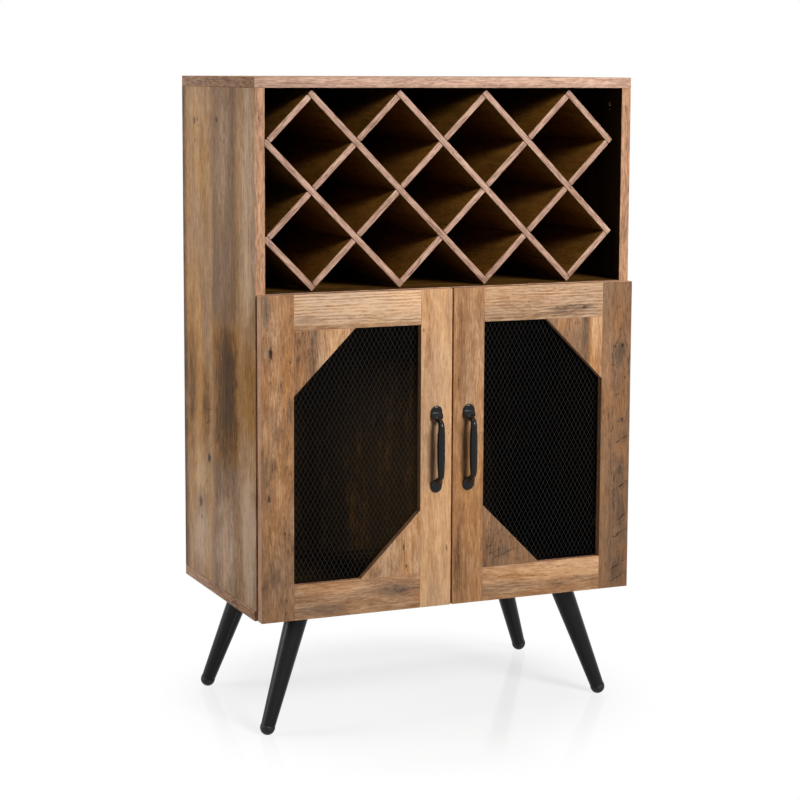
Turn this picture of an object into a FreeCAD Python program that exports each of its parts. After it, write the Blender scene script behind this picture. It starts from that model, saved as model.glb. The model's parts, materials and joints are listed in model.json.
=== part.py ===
import FreeCAD, Part
import math
import os
import re
import Sketcher
from FreeCAD import Placement, Rotation, Vector

# Wine rack cabinet: a diamond bottle rack over a cupboard with two mesh doors, on four splayed legs.
# Millimetres. X runs along the width, Y from front to back, Z up.
# The origin is on the floor, in the middle of the whole object's box.

# Driving sizes: name, value in millimetres, what it is
DRIVING = [
    ("cabinet_width", 585, "outside width of the carcass"),
    ("carcass_depth", 318, "front edge to rear edge of the side panels"),
    ("cabinet_height", 930, "floor to the top face"),
    ("leg_height", 172, "floor to the underside of the bottom panel"),
    ("panel", 15, "thickness of the carcass panels"),
    ("rack_bay_height", 282, "clear height of the bottle bay"),
    ("bottom_recess", 7, "how far the bottom panel stops behind the side panels' front edges"),
    ("back_thickness", 3, "back panel"),
    ("back_inset", 8, "rear edge of the carcass to the back panel"),
    ("groove_depth", 5, "groove that holds the back panel"),
    ("groove_play", 0.1, "clearance of the back panel in its groove"),
    ("board_thickness", 9, "rack boards"),
    ("cell_pitch", 94.5, "distance between parallel rack boards"),
    ("rack_recess", 12, "front edge of the carcass to the rack boards' front edges"),
    ("rack_depth", 288, "rack boards, front to back"),
    ("slot_play", 0.1, "clearance of a board in its halving slot"),
    ("door_gap", 1.8, "gap between the doors and the carcass"),
    ("door_thickness", 15, "door frame"),
    ("door_side_reveal", 2, "side of the carcass to the door's outer edge"),
    ("door_centre_gap", 2.5, "gap between the two doors"),
    ("door_bottom_reveal", 1.5, "bottom panel's underside to the doors' lower edge"),
    ("door_top_reveal", 0.5, "shelf's top face to the doors' upper edge"),
    ("stile_width", 48.4, "upright members of the door frame"),
    ("rail_height", 50, "level members of the door frame"),
    ("gusset_leg", 92, "short sides of the corner boards"),
    ("rabbet_width", 7, "step around the door opening that takes the mesh"),
    ("rabbet_depth", 4, "depth of that step from the door's back"),
    ("mesh_thickness", 1, "mesh sheet"),
    ("mesh_play", 0.3, "clearance of the mesh sheet in its step"),
    ("mesh_strand", 2.2, "width of the strands between the gaps"),
    ("hinge_inset", 85, "door's end to the hinge's middle"),
    ("cup_edge", 4, "door's outer edge to the hinge cup"),
    ("cup_radius", 17.5, "bore for the hinge cup"),
    ("cup_depth", 11.5, "bore for the hinge cup"),
    ("cup_wall", 0.8, "wall, floor and flange of the cup"),
    ("cup_play", 0.1, "clearance of the cup in its bore"),
    ("flange_width", 26, "cup flange, along the door's width"),
    ("flange_height", 62, "cup flange, along the door's height"),
    ("flange_screw_spacing", 48, "the flange's two screws"),
    ("flange_screw_offset", 5.5, "cup centre to the line of those screws"),
    ("hinge_pin_out", 35, "door's outer edge to the hinge pin"),
    ("hinge_pin_back", 7, "door's front face to the hinge pin"),
    ("hinge_pin_radius", 1, "hinge pin"),
    ("hinge_eye_radius", 1.9, "link's eye and arm's nose"),
    ("hinge_pin_play", 0.1, "clearance of the link's eye on the pin"),
    ("link_length", 26.8, "pin to the link's tip"),
    ("link_thickness", 2, "link"),
    ("link_width", 4, "link, along the door's height"),
    ("link_play", 0.2, "clearance of the link between the arm's cheeks"),
    ("arm_width", 8, "hinge arm, along the door's height"),
    ("arm_thickness", 2.5, "hinge arm over its plate"),
    ("arm_length", 55, "carcass front edge to the arm's rear end"),
    ("plate_thickness", 2.5, "wings of the hinge plate"),
    ("plate_rib_height", 6, "raised middle of the hinge plate"),
    ("plate_rib_width", 12, "raised middle, along the door's height"),
    ("plate_setback", 37, "carcass front edge to the plate's screws"),
    ("plate_screw_spacing", 32, "the plate's two screws"),
    ("plate_wing_width", 18, "wings of the hinge plate, front to back"),
    ("plate_wing_height", 44, "wings of the hinge plate, along the door's height"),
    ("small_screw_radius", 1.5, "screws for the mesh and the hinge cups"),
    ("small_screw_length", 8, "thread below the head"),
    ("small_head_radius", 2.6, "their heads"),
    ("small_head_height", 1.6, "their heads"),
    ("panel_screw_radius", 1.75, "screws for the hinge plates and the leg brackets"),
    ("panel_screw_length", 13, "thread below the head"),
    ("panel_head_radius", 3.4, "their heads"),
    ("panel_head_height", 2.2, "their heads"),
    ("rack_screw_radius", 1.5, "screws through the rack boards"),
    ("rack_screw_length", 30, "whole length"),
    ("rack_head_radius", 3, "their countersunk heads"),
    ("rack_head_height", 1.8, "their countersunk heads"),
    ("rack_screw_setback", 50, "board's front or rear edge to its screws"),
    ("screw_play", 0.1, "clearance round every screw, bolt and dowel"),
    ("fastener_front", 34, "carcass front edge to the front cam fittings"),
    ("fastener_rear", 50, "carcass rear edge to the rear cam fittings"),
    ("dowel_offset", 32, "cam fitting to its dowel"),
    ("cam_backset", 26, "panel joint to the cam's middle"),
    ("cam_radius", 7.5, "bore for the cam"),
    ("cam_depth", 12.4, "bore for the cam"),
    ("cam_slot", 1.6, "width and depth of the cam's cross slot"),
    ("cam_bolt_radius", 3.9, "shank of the cam bolt"),
    ("cam_bolt_head", 3.3, "head of the cam bolt, radius"),
    ("cam_bolt_thread", 2.9, "threaded end of the cam bolt, radius"),
    ("thread_length", 9, "threaded end in the facing panel"),
    ("dowel_radius", 4, "wooden dowel"),
    ("dowel_short", 10, "dowel in the facing panel"),
    ("dowel_long", 20, "dowel in the panel's end"),
    ("handle_length", 125, "overall"),
    ("handle_hole_spacing", 96, "between its two screws"),
    ("handle_projection", 23, "door's face to the outermost point"),
    ("handle_pad_radius", 9, "round end pads"),
    ("handle_pad_thickness", 3, "round end pads"),
    ("handle_pad_round", 1.2, "rounded rim of the pads"),
    ("handle_bar_width", 11, "grip in the middle"),
    ("handle_bar_thickness", 7, "grip in the middle"),
    ("handle_screw_radius", 2, "machine screws from behind"),
    ("handle_screw_grip", 5, "thread in the handle"),
    ("handle_head_radius", 4, "their heads"),
    ("handle_head_height", 2.4, "their heads"),
    ("leg_top_inset_side", 82, "carcass side to the leg's axis at the underside"),
    ("leg_top_inset_end", 49, "carcass front or rear to the leg's axis at the underside"),
    ("foot_inset_side", 22, "carcass side to the leg's axis at the floor"),
    ("foot_inset_end", 24.5, "carcass front or rear to the leg's axis at the floor"),
    ("leg_top_radius", 16.4, "leg's upper end"),
    ("leg_foot_radius", 10.3, "leg's lower end"),
    ("cap_radius", 10.8, "foot cap"),
    ("cap_rim", 2.5, "straight rim of the foot cap"),
    ("cap_flat", 0.5, "how much of the dome the floor cuts off"),
    ("cap_peg_radius", 3, "peg of the foot cap in the leg"),
    ("cap_peg_length", 12, "peg of the foot cap in the leg"),
    ("bracket_side", 70, "square leg bracket"),
    ("bracket_thickness", 3, "leg bracket's plate"),
    ("bracket_socket_radius", 17.5, "slanted boss that the leg seats on"),
    ("bracket_boss", 1, "thinnest part of the boss below the plate"),
    ("bracket_screw_inset", 8, "plate's edge to its screws"),
    ("leg_bolt_radius", 4, "threaded bolt between leg and bracket"),
    ("leg_bolt_in_leg", 28, "bolt in the leg"),
    ("leg_bolt_in_bracket", 5, "bolt in the bracket"),
    ("overrun", 2, "how far a cut reaches past the face that it opens"),
]

# Counts and angles that are no lengths
RACK_COLUMNS = 4
RACK_ROWS = 2
MESH_COLUMNS = 12
MESH_ROWS = 12
LINK_REST_DEGREES = -1.7
DIAGONAL = math.sqrt(0.5)

# Sizes that follow from the driving ones
DERIVED = [
    ("half_width", "cabinet_width / 2"),
    ("inner_half", "half_width - panel"),
    ("carcass_front", "(handle_projection + door_thickness + door_gap - carcass_depth) / 2"),
    ("carcass_back", "carcass_front + carcass_depth"),
    ("carcass_middle", "(carcass_front + carcass_back) / 2"),
    ("top_under", "cabinet_height - panel"),
    ("floor_top", "leg_height + panel"),
    ("shelf_top", "top_under - rack_bay_height"),
    ("shelf_under", "shelf_top - panel"),
    ("back_rear", "carcass_back - back_inset"),
    ("back_front", "back_rear - back_thickness"),
    ("cell_half", "cell_pitch / sqrt(2)"),
    ("board_tip", "board_thickness / sqrt(2)"),
    ("rack_front", "carcass_front + rack_recess"),
    ("rack_left", "board_tip - inner_half"),
    ("rack_bottom", "shelf_top + board_tip"),
    ("door_back", "carcass_front - door_gap"),
    ("door_front", "door_back - door_thickness"),
    ("rabbet_floor", "door_back - rabbet_depth"),
    ("door_bottom", "leg_height + door_bottom_reveal"),
    ("door_top", "shelf_top - door_top_reveal"),
    ("door_height", "door_top - door_bottom"),
    ("door_width", "half_width - door_side_reveal - door_centre_gap / 2"),
    ("rail_length", "door_width - 2 * stile_width"),
    ("opening_bottom", "door_bottom + rail_height"),
    ("opening_top", "door_top - rail_height"),
    ("door_middle", "(door_bottom + door_top) / 2"),
    ("pivot_out", "half_width - door_side_reveal"),
    ("foot_run_side", "leg_top_inset_side - foot_inset_side"),
    ("foot_run_end", "leg_top_inset_end - foot_inset_end"),
    ("leg_run", "sqrt(foot_run_side ^ 2 + foot_run_end ^ 2)"),
    ("leg_axis", "sqrt(leg_run ^ 2 + leg_height ^ 2)"),
    ("leg_tilt", "atan(leg_run / leg_height)"),
    ("cap_centre", "(cap_radius - cap_flat) * leg_axis / leg_height"),
    ("leg_start", "cap_centre + cap_rim"),
    ("leg_rise", "bracket_thickness + bracket_boss + bracket_socket_radius * leg_run / leg_axis"),
    ("leg_end", "(leg_height - leg_rise) * leg_axis / leg_height"),
]

doc = FreeCAD.newDocument("wine_rack_cabinet")
sheet = doc.addObject("Spreadsheet::Sheet", "Sizes")
places = doc.addObject("App::VarSet", "Places")
HOME = {}
NODES = []


def expand(text):
    """Write an expression's plain names as cells of the sheet or values of the set."""
    return re.sub(r"[a-z_]+[a-z]", lambda word: HOME.get(word.group(0), word.group(0)), str(text))


def fill_sheet():
    sheet.set("A1", "name")
    sheet.set("B1", "millimetres")
    sheet.set("C1", "meaning")
    for row, (name, value, meaning) in enumerate(DRIVING, start=2):
        sheet.set(f"A{row}", name)
        sheet.set(f"B{row}", str(value))
        sheet.setAlias(f"B{row}", name)
        sheet.set(f"C{row}", meaning)
        HOME[name] = f"Sizes.{name}"
    doc.recompute()
    for name, text in DERIVED:
        places.addProperty("App::PropertyFloat", name)
        places.setExpression(name, expand(text))
        HOME[name] = f"Places.{name}"
    doc.recompute()


def size(name):
    """The number that a name stands for."""
    owner = places if HOME[name].startswith("Places") else sheet
    return float(getattr(owner, name))


def bind(shape, **sizes):
    for name, text in sizes.items():
        shape.setExpression(name, expand(text))


def turn_to(direction):
    """The rotation that lays the Z axis along a fixed direction."""
    turn = Rotation(Vector(0, 0, 1), Vector(*direction))
    axis = turn.Axis
    return f"rotation(vector({axis.x:.6f}; {axis.y:.6f}; {axis.z:.6f}); {math.degrees(turn.Angle):.6f})"


LEVEL = "rotation(vector(0; 0; 1); 0)"


def place(shape, point, turn=LEVEL, lift="0"):
    """Put a shape at a point, turned, and then lifted along its own Z axis."""
    seat = f"placement(vector({'; '.join(point)}); {turn})"
    shape.setExpression("Placement", expand(f"{seat} * placement(vector(0; 0; {lift}); {LEVEL})"))


def along(point, direction, distance):
    """A point moved by a distance along a direction, as expressions."""
    moved = []
    for start, share in zip(point, direction):
        moved.append(start if abs(share) < 1e-9 else f"{start} + ({share:.6f}) * ({distance})")
    return tuple(moved)


def box(low, lengths, label="block", turn=LEVEL):
    shape = doc.addObject("Part::Box", "Block")
    shape.Label = label
    bind(shape, Length=lengths[0], Width=lengths[1], Height=lengths[2])
    place(shape, low, turn)
    return shape


def rod(point, direction, radius, length, label="rod"):
    shape = doc.addObject("Part::Cylinder", "Rod")
    shape.Label = label
    bind(shape, Radius=radius, Height=length)
    place(shape, point, turn_to(direction))
    return shape


def cone(point, direction, start_radius, end_radius, length, label="cone"):
    shape = doc.addObject("Part::Cone", "Cone")
    shape.Label = label
    bind(shape, Radius1=start_radius, Radius2=end_radius, Height=length)
    place(shape, point, turn_to(direction))
    return shape


def fuse(shapes, label="joined"):
    joined = doc.addObject("Part::MultiFuse", "Joined")
    joined.Label = label
    joined.Shapes = shapes
    return joined


def cut(base, tools, label="cut"):
    result = doc.addObject("Part::Cut", "Cut")
    result.Label = label
    result.Base = base
    result.Tool = tools[0] if len(tools) == 1 else fuse(tools, f"{label} cuts")
    return result


def node(name, shape):
    """Name a finished sub-part."""
    shape.Label = name
    NODES.append((name, shape))
    return shape


def group(name, shapes):
    """Like fasteners, as separate solids under one name."""
    holder = doc.addObject("Part::Compound", "Group")
    holder.Links = shapes
    return node(name, holder)


def outline_sketch(body, plane, points, name):
    """A closed outline of straight lines whose corners are bound to the sizes."""
    sketch = body.newObject("Sketcher::SketchObject", name)
    origin = [feature for feature in body.Origin.OriginFeatures if feature.Role == plane][0]
    sketch.AttachmentSupport = (origin, [""])
    sketch.MapMode = "FlatFace"
    count = len(points)
    corner = [Vector(math.cos(math.tau * i / count), math.sin(math.tau * i / count), 0) for i in range(count)]
    for i in range(count):
        sketch.addGeometry(Part.LineSegment(corner[i], corner[(i + 1) % count]), False)
    for i in range(count):
        sketch.addConstraint(Sketcher.Constraint("Coincident", i, 2, (i + 1) % count, 1))
    for i, pair in enumerate(points):
        for kind, text in zip(("DistanceX", "DistanceY"), pair):
            index = sketch.addConstraint(Sketcher.Constraint(kind, -1, 1, i, 1, 1.0))
            sketch.setExpression(f"Constraints[{index}]", expand(text))
    return sketch


def plate_body(points, plane, thickness, label):
    """A body padded from an outline."""
    body = doc.addObject("PartDesign::Body", "Plate")
    body.Label = label
    pad = body.newObject("PartDesign::Pad", "Pad")
    pad.Profile = outline_sketch(body, plane, points, "Outline")
    bind(pad, Length=thickness)
    return body


def turned_body(points, label):
    """A body turned about its own Z axis from a half outline."""
    body = doc.addObject("PartDesign::Body", "Turned")
    body.Label = label
    turning = body.newObject("PartDesign::Revolution", "Turning")
    sketch = outline_sketch(body, "XZ_Plane", points, "Profile")
    turning.Profile = sketch
    turning.ReferenceAxis = (sketch, ["V_Axis"])
    turning.Angle = 360
    return body


# Fasteners

def headed_screw(point, direction, radius, length, head_radius, head_height, label):
    """A screw whose head sits on the point and whose thread runs along the direction."""
    back = tuple(-share for share in direction)
    head = rod(point, back, head_radius, head_height, "screw head")
    thread = rod(point, direction, radius, length, "screw thread")
    return fuse([head, thread], label)


def bore(point, direction, radius, length):
    """A hole one clearance wider and deeper than what it takes, open at the point."""
    start = along(point, direction, "-overrun")
    return rod(start, direction, f"{radius} + screw_play", f"{length} + overrun + screw_play", "bore")


class Carcass:
    """Collects each panel's holes before the panels are cut."""

    def __init__(self):
        self.holes = {}
        self.cams = []
        self.bolts = []
        self.dowels = []
        self.screws = []

    def add(self, panel, tool):
        self.holes.setdefault(panel, []).append(tool)


def cam_joint(work, joint, into, face, cam_panel, facing_panel):
    """One cam fitting: its bolt crosses the joint and its cam opens on a face of the panel."""
    back = tuple(-share for share in into)
    centre = along(joint, into, "cam_backset")
    mouth = along(centre, face, "panel / 2")
    inward = tuple(-share for share in face)
    work.add(cam_panel, rod(along(mouth, face, "overrun"), inward, "cam_radius", "cam_depth + overrun", "cam bore"))
    work.add(cam_panel, bore(joint, into, "cam_bolt_radius", "cam_backset"))
    work.add(facing_panel, bore(joint, back, "cam_bolt_thread", "thread_length"))
    body = rod(mouth, inward, "cam_radius - screw_play", "cam_depth - screw_play", "cam body")
    throat = rod(along(centre, back, "cam_radius + overrun"), into, "cam_bolt_head + screw_play",
                 "cam_radius + overrun + cam_bolt_head + screw_play", "cam throat")
    slots = [cam_slot(mouth, inward, index) for index in range(2)]
    work.cams.append(cut(body, [throat] + slots, "cam"))
    shank = rod(joint, into, "cam_bolt_radius", "cam_backset - cam_radius", "bolt shank")
    head = rod(along(joint, into, "cam_backset - cam_radius"), into, "cam_bolt_head",
               "cam_radius + cam_bolt_head", "bolt head")
    thread = rod(joint, back, "cam_bolt_thread", "thread_length", "bolt thread")
    work.bolts.append(fuse([shank, head, thread], "cam bolt"))


def cam_slot(mouth, inward, index):
    """One bar of the cross slot in a cam's face."""
    normal = [abs(share) > 0.5 for share in inward]
    free = [axis for axis in range(3) if not normal[axis]]
    long_axis = free[index]
    low = []
    lengths = []
    for axis in range(3):
        if normal[axis]:
            lengths.append("cam_slot * 2")
            low.append(f"{mouth[axis]} - cam_slot")
        elif axis == long_axis:
            lengths.append("cam_radius * 1.2")
            low.append(f"{mouth[axis]} - cam_radius * 0.6")
        else:
            lengths.append("cam_slot")
            low.append(f"{mouth[axis]} - cam_slot / 2")
    return box(tuple(low), lengths, "cam cross slot")


def dowel_joint(work, joint, into, end_panel, facing_panel):
    back = tuple(-share for share in into)
    work.add(end_panel, bore(joint, into, "dowel_radius", "dowel_long"))
    work.add(facing_panel, bore(joint, back, "dowel_radius", "dowel_short"))
    start = along(joint, back, "dowel_short")
    work.dowels.append(rod(start, into, "dowel_radius", "dowel_short + dowel_long", "dowel"))


def join_panels(work, x, z, into, face, end_panel, facing_panel):
    """Two cam fittings and two dowels along one joint between panels."""
    for end, sign in (("carcass_front + fastener_front", 1), ("carcass_back - fastener_rear", -1)):
        cam_joint(work, (x, end, z), into, face, end_panel, facing_panel)
        beside = f"{end} + ({sign}) * dowel_offset"
        dowel_joint(work, (x, beside, z), into, end_panel, facing_panel)


def join_carcass(work):
    for side, sign in (("left", -1), ("right", 1)):
        panel_name = f"{side}_side_panel"
        middle = f"({sign}) * (half_width - panel / 2)"
        inside = (-sign, 0, 0)
        join_panels(work, middle, "top_under", (0, 0, -1), inside, panel_name, "top_panel")
        join_panels(work, middle, "floor_top", (0, 0, 1), inside, panel_name, "bottom_panel")
        join_panels(work, f"({sign}) * inner_half", "shelf_under + panel / 2", inside, (0, 0, -1),
                    "middle_shelf", panel_name)


def back_grooves(work):
    """Grooves in the four carcass panels that hold the back panel."""
    front = "back_front - groove_play"
    width = "back_thickness + 2 * groove_play"
    reach = "groove_depth + groove_play"
    span = f"2 * (inner_half + {reach})"
    left = f"-(inner_half + {reach})"
    work.add("top_panel", box((left, front, "top_under - overrun"), (span, width, f"{reach} + overrun"), "groove"))
    work.add("bottom_panel", box((left, front, f"floor_top - ({reach})"), (span, width, f"{reach} + overrun"),
                                 "groove"))
    tall = "top_under - floor_top + 2 * overrun"
    for side, low in (("left", f"-inner_half - ({reach})"), ("right", "inner_half - overrun")):
        work.add(f"{side}_side_panel", box((low, front, "floor_top - overrun"), (f"{reach} + overrun", width, tall),
                                           "groove"))


def build_carcass(work):
    wide = "cabinet_width"
    upright = "top_under - floor_top"
    blanks = {
        "top_panel": (("-half_width", "carcass_front", "top_under"), (wide, "carcass_depth", "panel")),
        "bottom_panel": (("-half_width", "carcass_front + bottom_recess", "leg_height"),
                         (wide, "carcass_depth - bottom_recess", "panel")),
        "left_side_panel": (("-half_width", "carcass_front", "floor_top"), ("panel", "carcass_depth", upright)),
        "right_side_panel": (("inner_half", "carcass_front", "floor_top"), ("panel", "carcass_depth", upright)),
        "middle_shelf": (("-inner_half", "carcass_front", "shelf_under"),
                         ("2 * inner_half", "back_front - carcass_front - groove_play", "panel")),
    }
    for name, (low, lengths) in blanks.items():
        node(name, cut(box(low, lengths, f"{name} blank"), work.holes[name], name))
    node("back_panel", box(("-inner_half - groove_depth", "back_front", "floor_top - groove_depth"),
                           ("2 * (inner_half + groove_depth)", "back_thickness",
                            "top_under - floor_top + 2 * groove_depth"), "back_panel"))
    group("cam_locks", work.cams)
    group("cam_bolts", work.bolts)
    group("carcass_dowels", work.dowels)
    group("panel_screws", work.screws)


# Bottle rack

def rack_point(column, row):
    """A crossing of the rack's centre lines: columns and rows count half cells."""
    return (f"rack_left + {column} * cell_half", "rack_front", f"rack_bottom + {row} * cell_half")


def rack_starts():
    """Where each falling and rising board starts, and how many cells it passes."""
    columns, rows = 2 * RACK_COLUMNS, 2 * RACK_ROWS
    falling = [(0, row) for row in range(1, rows, 2)] + [(column, rows) for column in range(1, columns, 2)]
    rising = [(0, row) for row in range(rows - 1, 0, -2)] + [(column, 0) for column in range(1, columns, 2)]
    falling = [(column, row, min(row, columns - column)) for column, row in falling]
    rising = [(column, row, min(rows - row, columns - column)) for column, row in rising]
    return falling, rising


def rack_slots(cells, start, low, length):
    """Halving slots where a board crosses the others, in the board's own frame."""
    slots = []
    for crossing in range(1, cells):
        near = f"{crossing} * cell_pitch - ({start}) - board_thickness / 2 - slot_play"
        slots.append(box((near, low, "-overrun"), ("board_thickness + 2 * slot_play", length,
                                                    "board_thickness + 2 * overrun"), "slot"))
    return slots


def rack_board(name, corner, degrees, length, slots, bores):
    blank = box(("0", "0", "0"), (length, "rack_depth", "board_thickness"), f"{name} blank")
    board = cut(blank, slots, f"{name} slotted") if slots else blank
    place(board, corner, f"rotation(vector(0; 1; 0); {degrees})")
    node(name, cut(board, bores, name))


def build_rack():
    falling, rising = rack_starts()
    up = (DIAGONAL, 0, DIAGONAL)
    down = (-DIAGONAL, 0, -DIAGONAL)
    falling_bores = {index: [] for index in range(len(falling))}
    rising_bores = {index: [] for index in range(len(rising))}
    screws = []

    def butt_joint(point, direction, rising_index):
        """Two screws through a falling board into the end of a rising one."""
        column_row = point
        owner = [i for i, (c, r, n) in enumerate(falling) if c + r == sum(column_row) and 0 <= column_row[0] - c <= n]
        centre = rack_point(*column_row)
        face = along(centre, direction, "-board_thickness / 2")
        for setback in ("rack_screw_setback", "rack_depth - rack_screw_setback"):
            seat = (face[0], f"{face[1]} + {setback}", face[2])
            sink = cone(along(seat, direction, "-screw_play"), direction, "rack_head_radius + 3 * screw_play",
                        "rack_screw_radius + screw_play", "rack_head_height + 3 * screw_play", "countersink")
            falling_bores[owner[0]].append(bore(seat, direction, "rack_screw_radius", "board_thickness"))
            falling_bores[owner[0]].append(sink)
            inner = along(seat, direction, "board_thickness")
            rising_bores[rising_index].append(bore(inner, direction, "rack_screw_radius",
                                                   "rack_screw_length - board_thickness"))
            head = cone(along(seat, direction, "screw_play"), direction, "rack_head_radius", "rack_screw_radius",
                        "rack_head_height", "screw head")
            thread = rod(along(seat, direction, "rack_head_height"), direction, "rack_screw_radius",
                         "rack_screw_length - rack_head_height", "screw thread")
            screws.append(fuse([head, thread], "rack screw"))

    for index, (column, row, cells) in enumerate(rising):
        butt_joint((column, row), up, index)
        butt_joint((column + cells, row + cells), down, index)
    for index, (column, row, cells) in enumerate(falling):
        corner = along(rack_point(column, row), (-1, 0, 0), "board_tip")
        slots = rack_slots(cells, "-board_thickness / 2", "rack_depth / 2 - slot_play",
                           "rack_depth / 2 + slot_play + overrun")
        rack_board(f"rack_falling_board_{index + 1}", corner, 45, f"{cells} * cell_pitch + board_thickness",
                   slots, falling_bores[index])
    for index, (column, row, cells) in enumerate(rising):
        corner = along(rack_point(column, row), (1, 0, 0), "board_tip")
        slots = rack_slots(cells, "board_thickness / 2", "-overrun", "rack_depth / 2 + slot_play + overrun")
        rack_board(f"rack_rising_board_{index + 1}", corner, -45, f"{cells} * cell_pitch - board_thickness",
                   slots, rising_bores[index])
    group("rack_screws", screws)


# Doors

class Door:
    """One door: sign is -1 for the left one, +1 for the right one."""

    def __init__(self, side, sign):
        self.side = side
        self.sign = sign
        self.screws = []
        self.stile_cuts = {"hinge": [], "meeting": []}
        self.rail_cuts = {"top": [], "bottom": []}

    def across(self, distance):
        """The X of a point at a distance from the door's outer edge."""
        return f"({self.sign}) * (pivot_out - ({distance}))"

    def low(self, near, width):
        """The lower X of a block that starts at a distance from the outer edge."""
        return self.across(near) if self.sign < 0 else self.across(f"{near} + {width}")

    def name(self, piece):
        return f"{self.side}_door_{piece}"


def door_block(door, near, width, bottom, height, label):
    return box((door.low(near, width), "door_front", bottom), (width, "door_thickness", height), label)


def mesh_step(door, near, width, bottom, height):
    """A cut of the step that the mesh lies in."""
    return box((door.low(near, width), "rabbet_floor", bottom), (width, "rabbet_depth + overrun", height), "mesh step")


def mesh_screw_points():
    """Places of the mesh's screws: from the outer edge, and up from the floor."""
    near = "stile_width - rabbet_width / 2"
    far = "door_width - stile_width + rabbet_width / 2"
    points = [("hinge", near, f"opening_bottom + (opening_top - opening_bottom) * {share}") for share in (0.1, 0.5, 0.9)]
    points += [("meeting", far, text) for (_, _, text) in points]
    for rail, level in (("top", "opening_top + rabbet_width / 2"), ("bottom", "opening_bottom - rabbet_width / 2")):
        points += [(rail, f"stile_width + rail_length * {share}", level) for share in (0.3, 0.7)]
    return points


def build_mesh(door):
    """The mesh sheet: one face with staggered diamond gaps, given its thickness."""
    margin = size("rabbet_width") - size("mesh_play")
    half = size("rail_length") / 2
    low, high = size("opening_bottom"), size("opening_top")
    middle = door.sign * (size("pivot_out") - size("door_width") / 2)
    y = size("rabbet_floor")

    def loop(points):
        return Part.makePolygon([Vector(middle + x, y, z) for x, z in points + points[:1]])

    edge = [(-half - margin, low - margin), (half + margin, low - margin),
            (half + margin, high + margin), (-half - margin, high + margin)]
    step_x = 2 * half / MESH_COLUMNS
    step_z = (high - low) / MESH_ROWS
    slope = math.hypot(step_x, step_z)
    gap_x = (step_x - size("mesh_strand") * slope / step_z) / 2
    gap_z = (step_z - size("mesh_strand") * slope / step_x) / 2
    gaps = []
    for parity in (0, 1):
        for column in range(MESH_COLUMNS - parity):
            for row in range(MESH_ROWS - parity):
                x = -half + (column + 0.5 + parity / 2) * step_x
                z = low + (row + 0.5 + parity / 2) * step_z
                gaps.append(loop([(x - gap_x, z), (x, z + gap_z), (x + gap_x, z), (x, z - gap_z)]))
    face = Part.Face([loop(edge)] + gaps)
    holes = [mesh_hole(door, along_x, level) for _, along_x, level in mesh_screw_points()]
    sheet_shape = face.extrude(Vector(0, size("mesh_thickness"), 0))
    net = doc.addObject("Part::Feature", "Net")
    net.Shape = sheet_shape
    node(door.name("mesh"), cut(net, holes, door.name("mesh")))


def mesh_hole(door, along_x, level):
    point = (door.across(along_x), "rabbet_floor - overrun", level)
    return rod(point, (0, 1, 0), "small_screw_radius + screw_play", "mesh_thickness + 2 * overrun", "mesh hole")


def add_mesh_screws(door):
    for owner, along_x, level in mesh_screw_points():
        seat = (door.across(along_x), "rabbet_floor + mesh_thickness", level)
        door.screws.append(headed_screw(seat, (0, -1, 0), "small_screw_radius", "small_screw_length",
                                        "small_head_radius", "small_head_height", "mesh screw"))
        hole = bore((seat[0], "rabbet_floor", level), (0, -1, 0), "small_screw_radius", "small_screw_length")
        (door.stile_cuts if owner in door.stile_cuts else door.rail_cuts)[owner].append(hole)


def build_gussets(door):
    """Two corner boards: the upper one by the hinges, the lower one by the middle."""
    depth = "door_thickness - rabbet_depth"
    toward = -door.sign
    upper = plate_body([("0", "0"), ("0", "-gusset_leg"), (f"({toward}) * gusset_leg", "0")], "XZ_Plane", depth,
                       door.name("upper_gusset"))
    place(upper, (door.across("stile_width"), "rabbet_floor", "opening_top"))
    node(door.name("upper_gusset"), upper)
    lower = plate_body([("0", "0"), ("0", "gusset_leg"), (f"({-toward}) * gusset_leg", "0")], "XZ_Plane", depth,
                       door.name("lower_gusset"))
    place(lower, (door.across("door_width - stile_width"), "rabbet_floor", "opening_bottom"))
    node(door.name("lower_gusset"), lower)


def hinge_levels():
    return ["door_bottom + hinge_inset", "door_top - hinge_inset"]


def add_cups(door):
    """Hinge cups with their flanges, and the bores and screws that hold them."""
    cups = []
    centre = door.across("cup_edge + cup_radius")
    screw_line = door.across("cup_edge + cup_radius + flange_screw_offset")
    for level in hinge_levels():
        mouth = (centre, "door_back", level)
        into = (0, -1, 0)
        door.stile_cuts["hinge"].append(rod(along(mouth, into, "-overrun"), into, "cup_radius",
                                            "cup_depth + overrun", "cup bore"))
        shell = rod(mouth, into, "cup_radius - cup_play", "cup_depth - cup_play", "cup shell")
        low = door.low("cup_edge + cup_radius - flange_width / 2", "flange_width")
        flange = box((low, "door_back", f"{level} - flange_height / 2"), ("flange_width", "cup_wall", "flange_height"),
                     "cup flange")
        hollow = rod((centre, "door_back + cup_wall + overrun", level), into, "cup_radius - cup_play - cup_wall",
                     "cup_wall + overrun + cup_depth - cup_play - cup_wall", "cup hollow")
        holes = [hollow]
        for sign in (-1, 1):
            seat = (screw_line, "door_back + cup_wall", f"{level} + ({sign}) * flange_screw_spacing / 2")
            holes.append(rod((seat[0], "door_back - overrun", seat[2]), (0, 1, 0), "small_screw_radius + screw_play",
                             "cup_wall + 2 * overrun", "flange hole"))
            door.screws.append(headed_screw(seat, into, "small_screw_radius", "small_screw_length",
                                            "small_head_radius", "small_head_height / 2", "cup screw"))
            door.stile_cuts["hinge"].append(bore((seat[0], "door_back", seat[2]), into, "small_screw_radius",
                                                 "small_screw_length"))
        cups.append(cut(fuse([shell, flange], "cup blank"), holes, "hinge cup"))
    group(door.name("hinge_cups"), cups)


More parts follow.
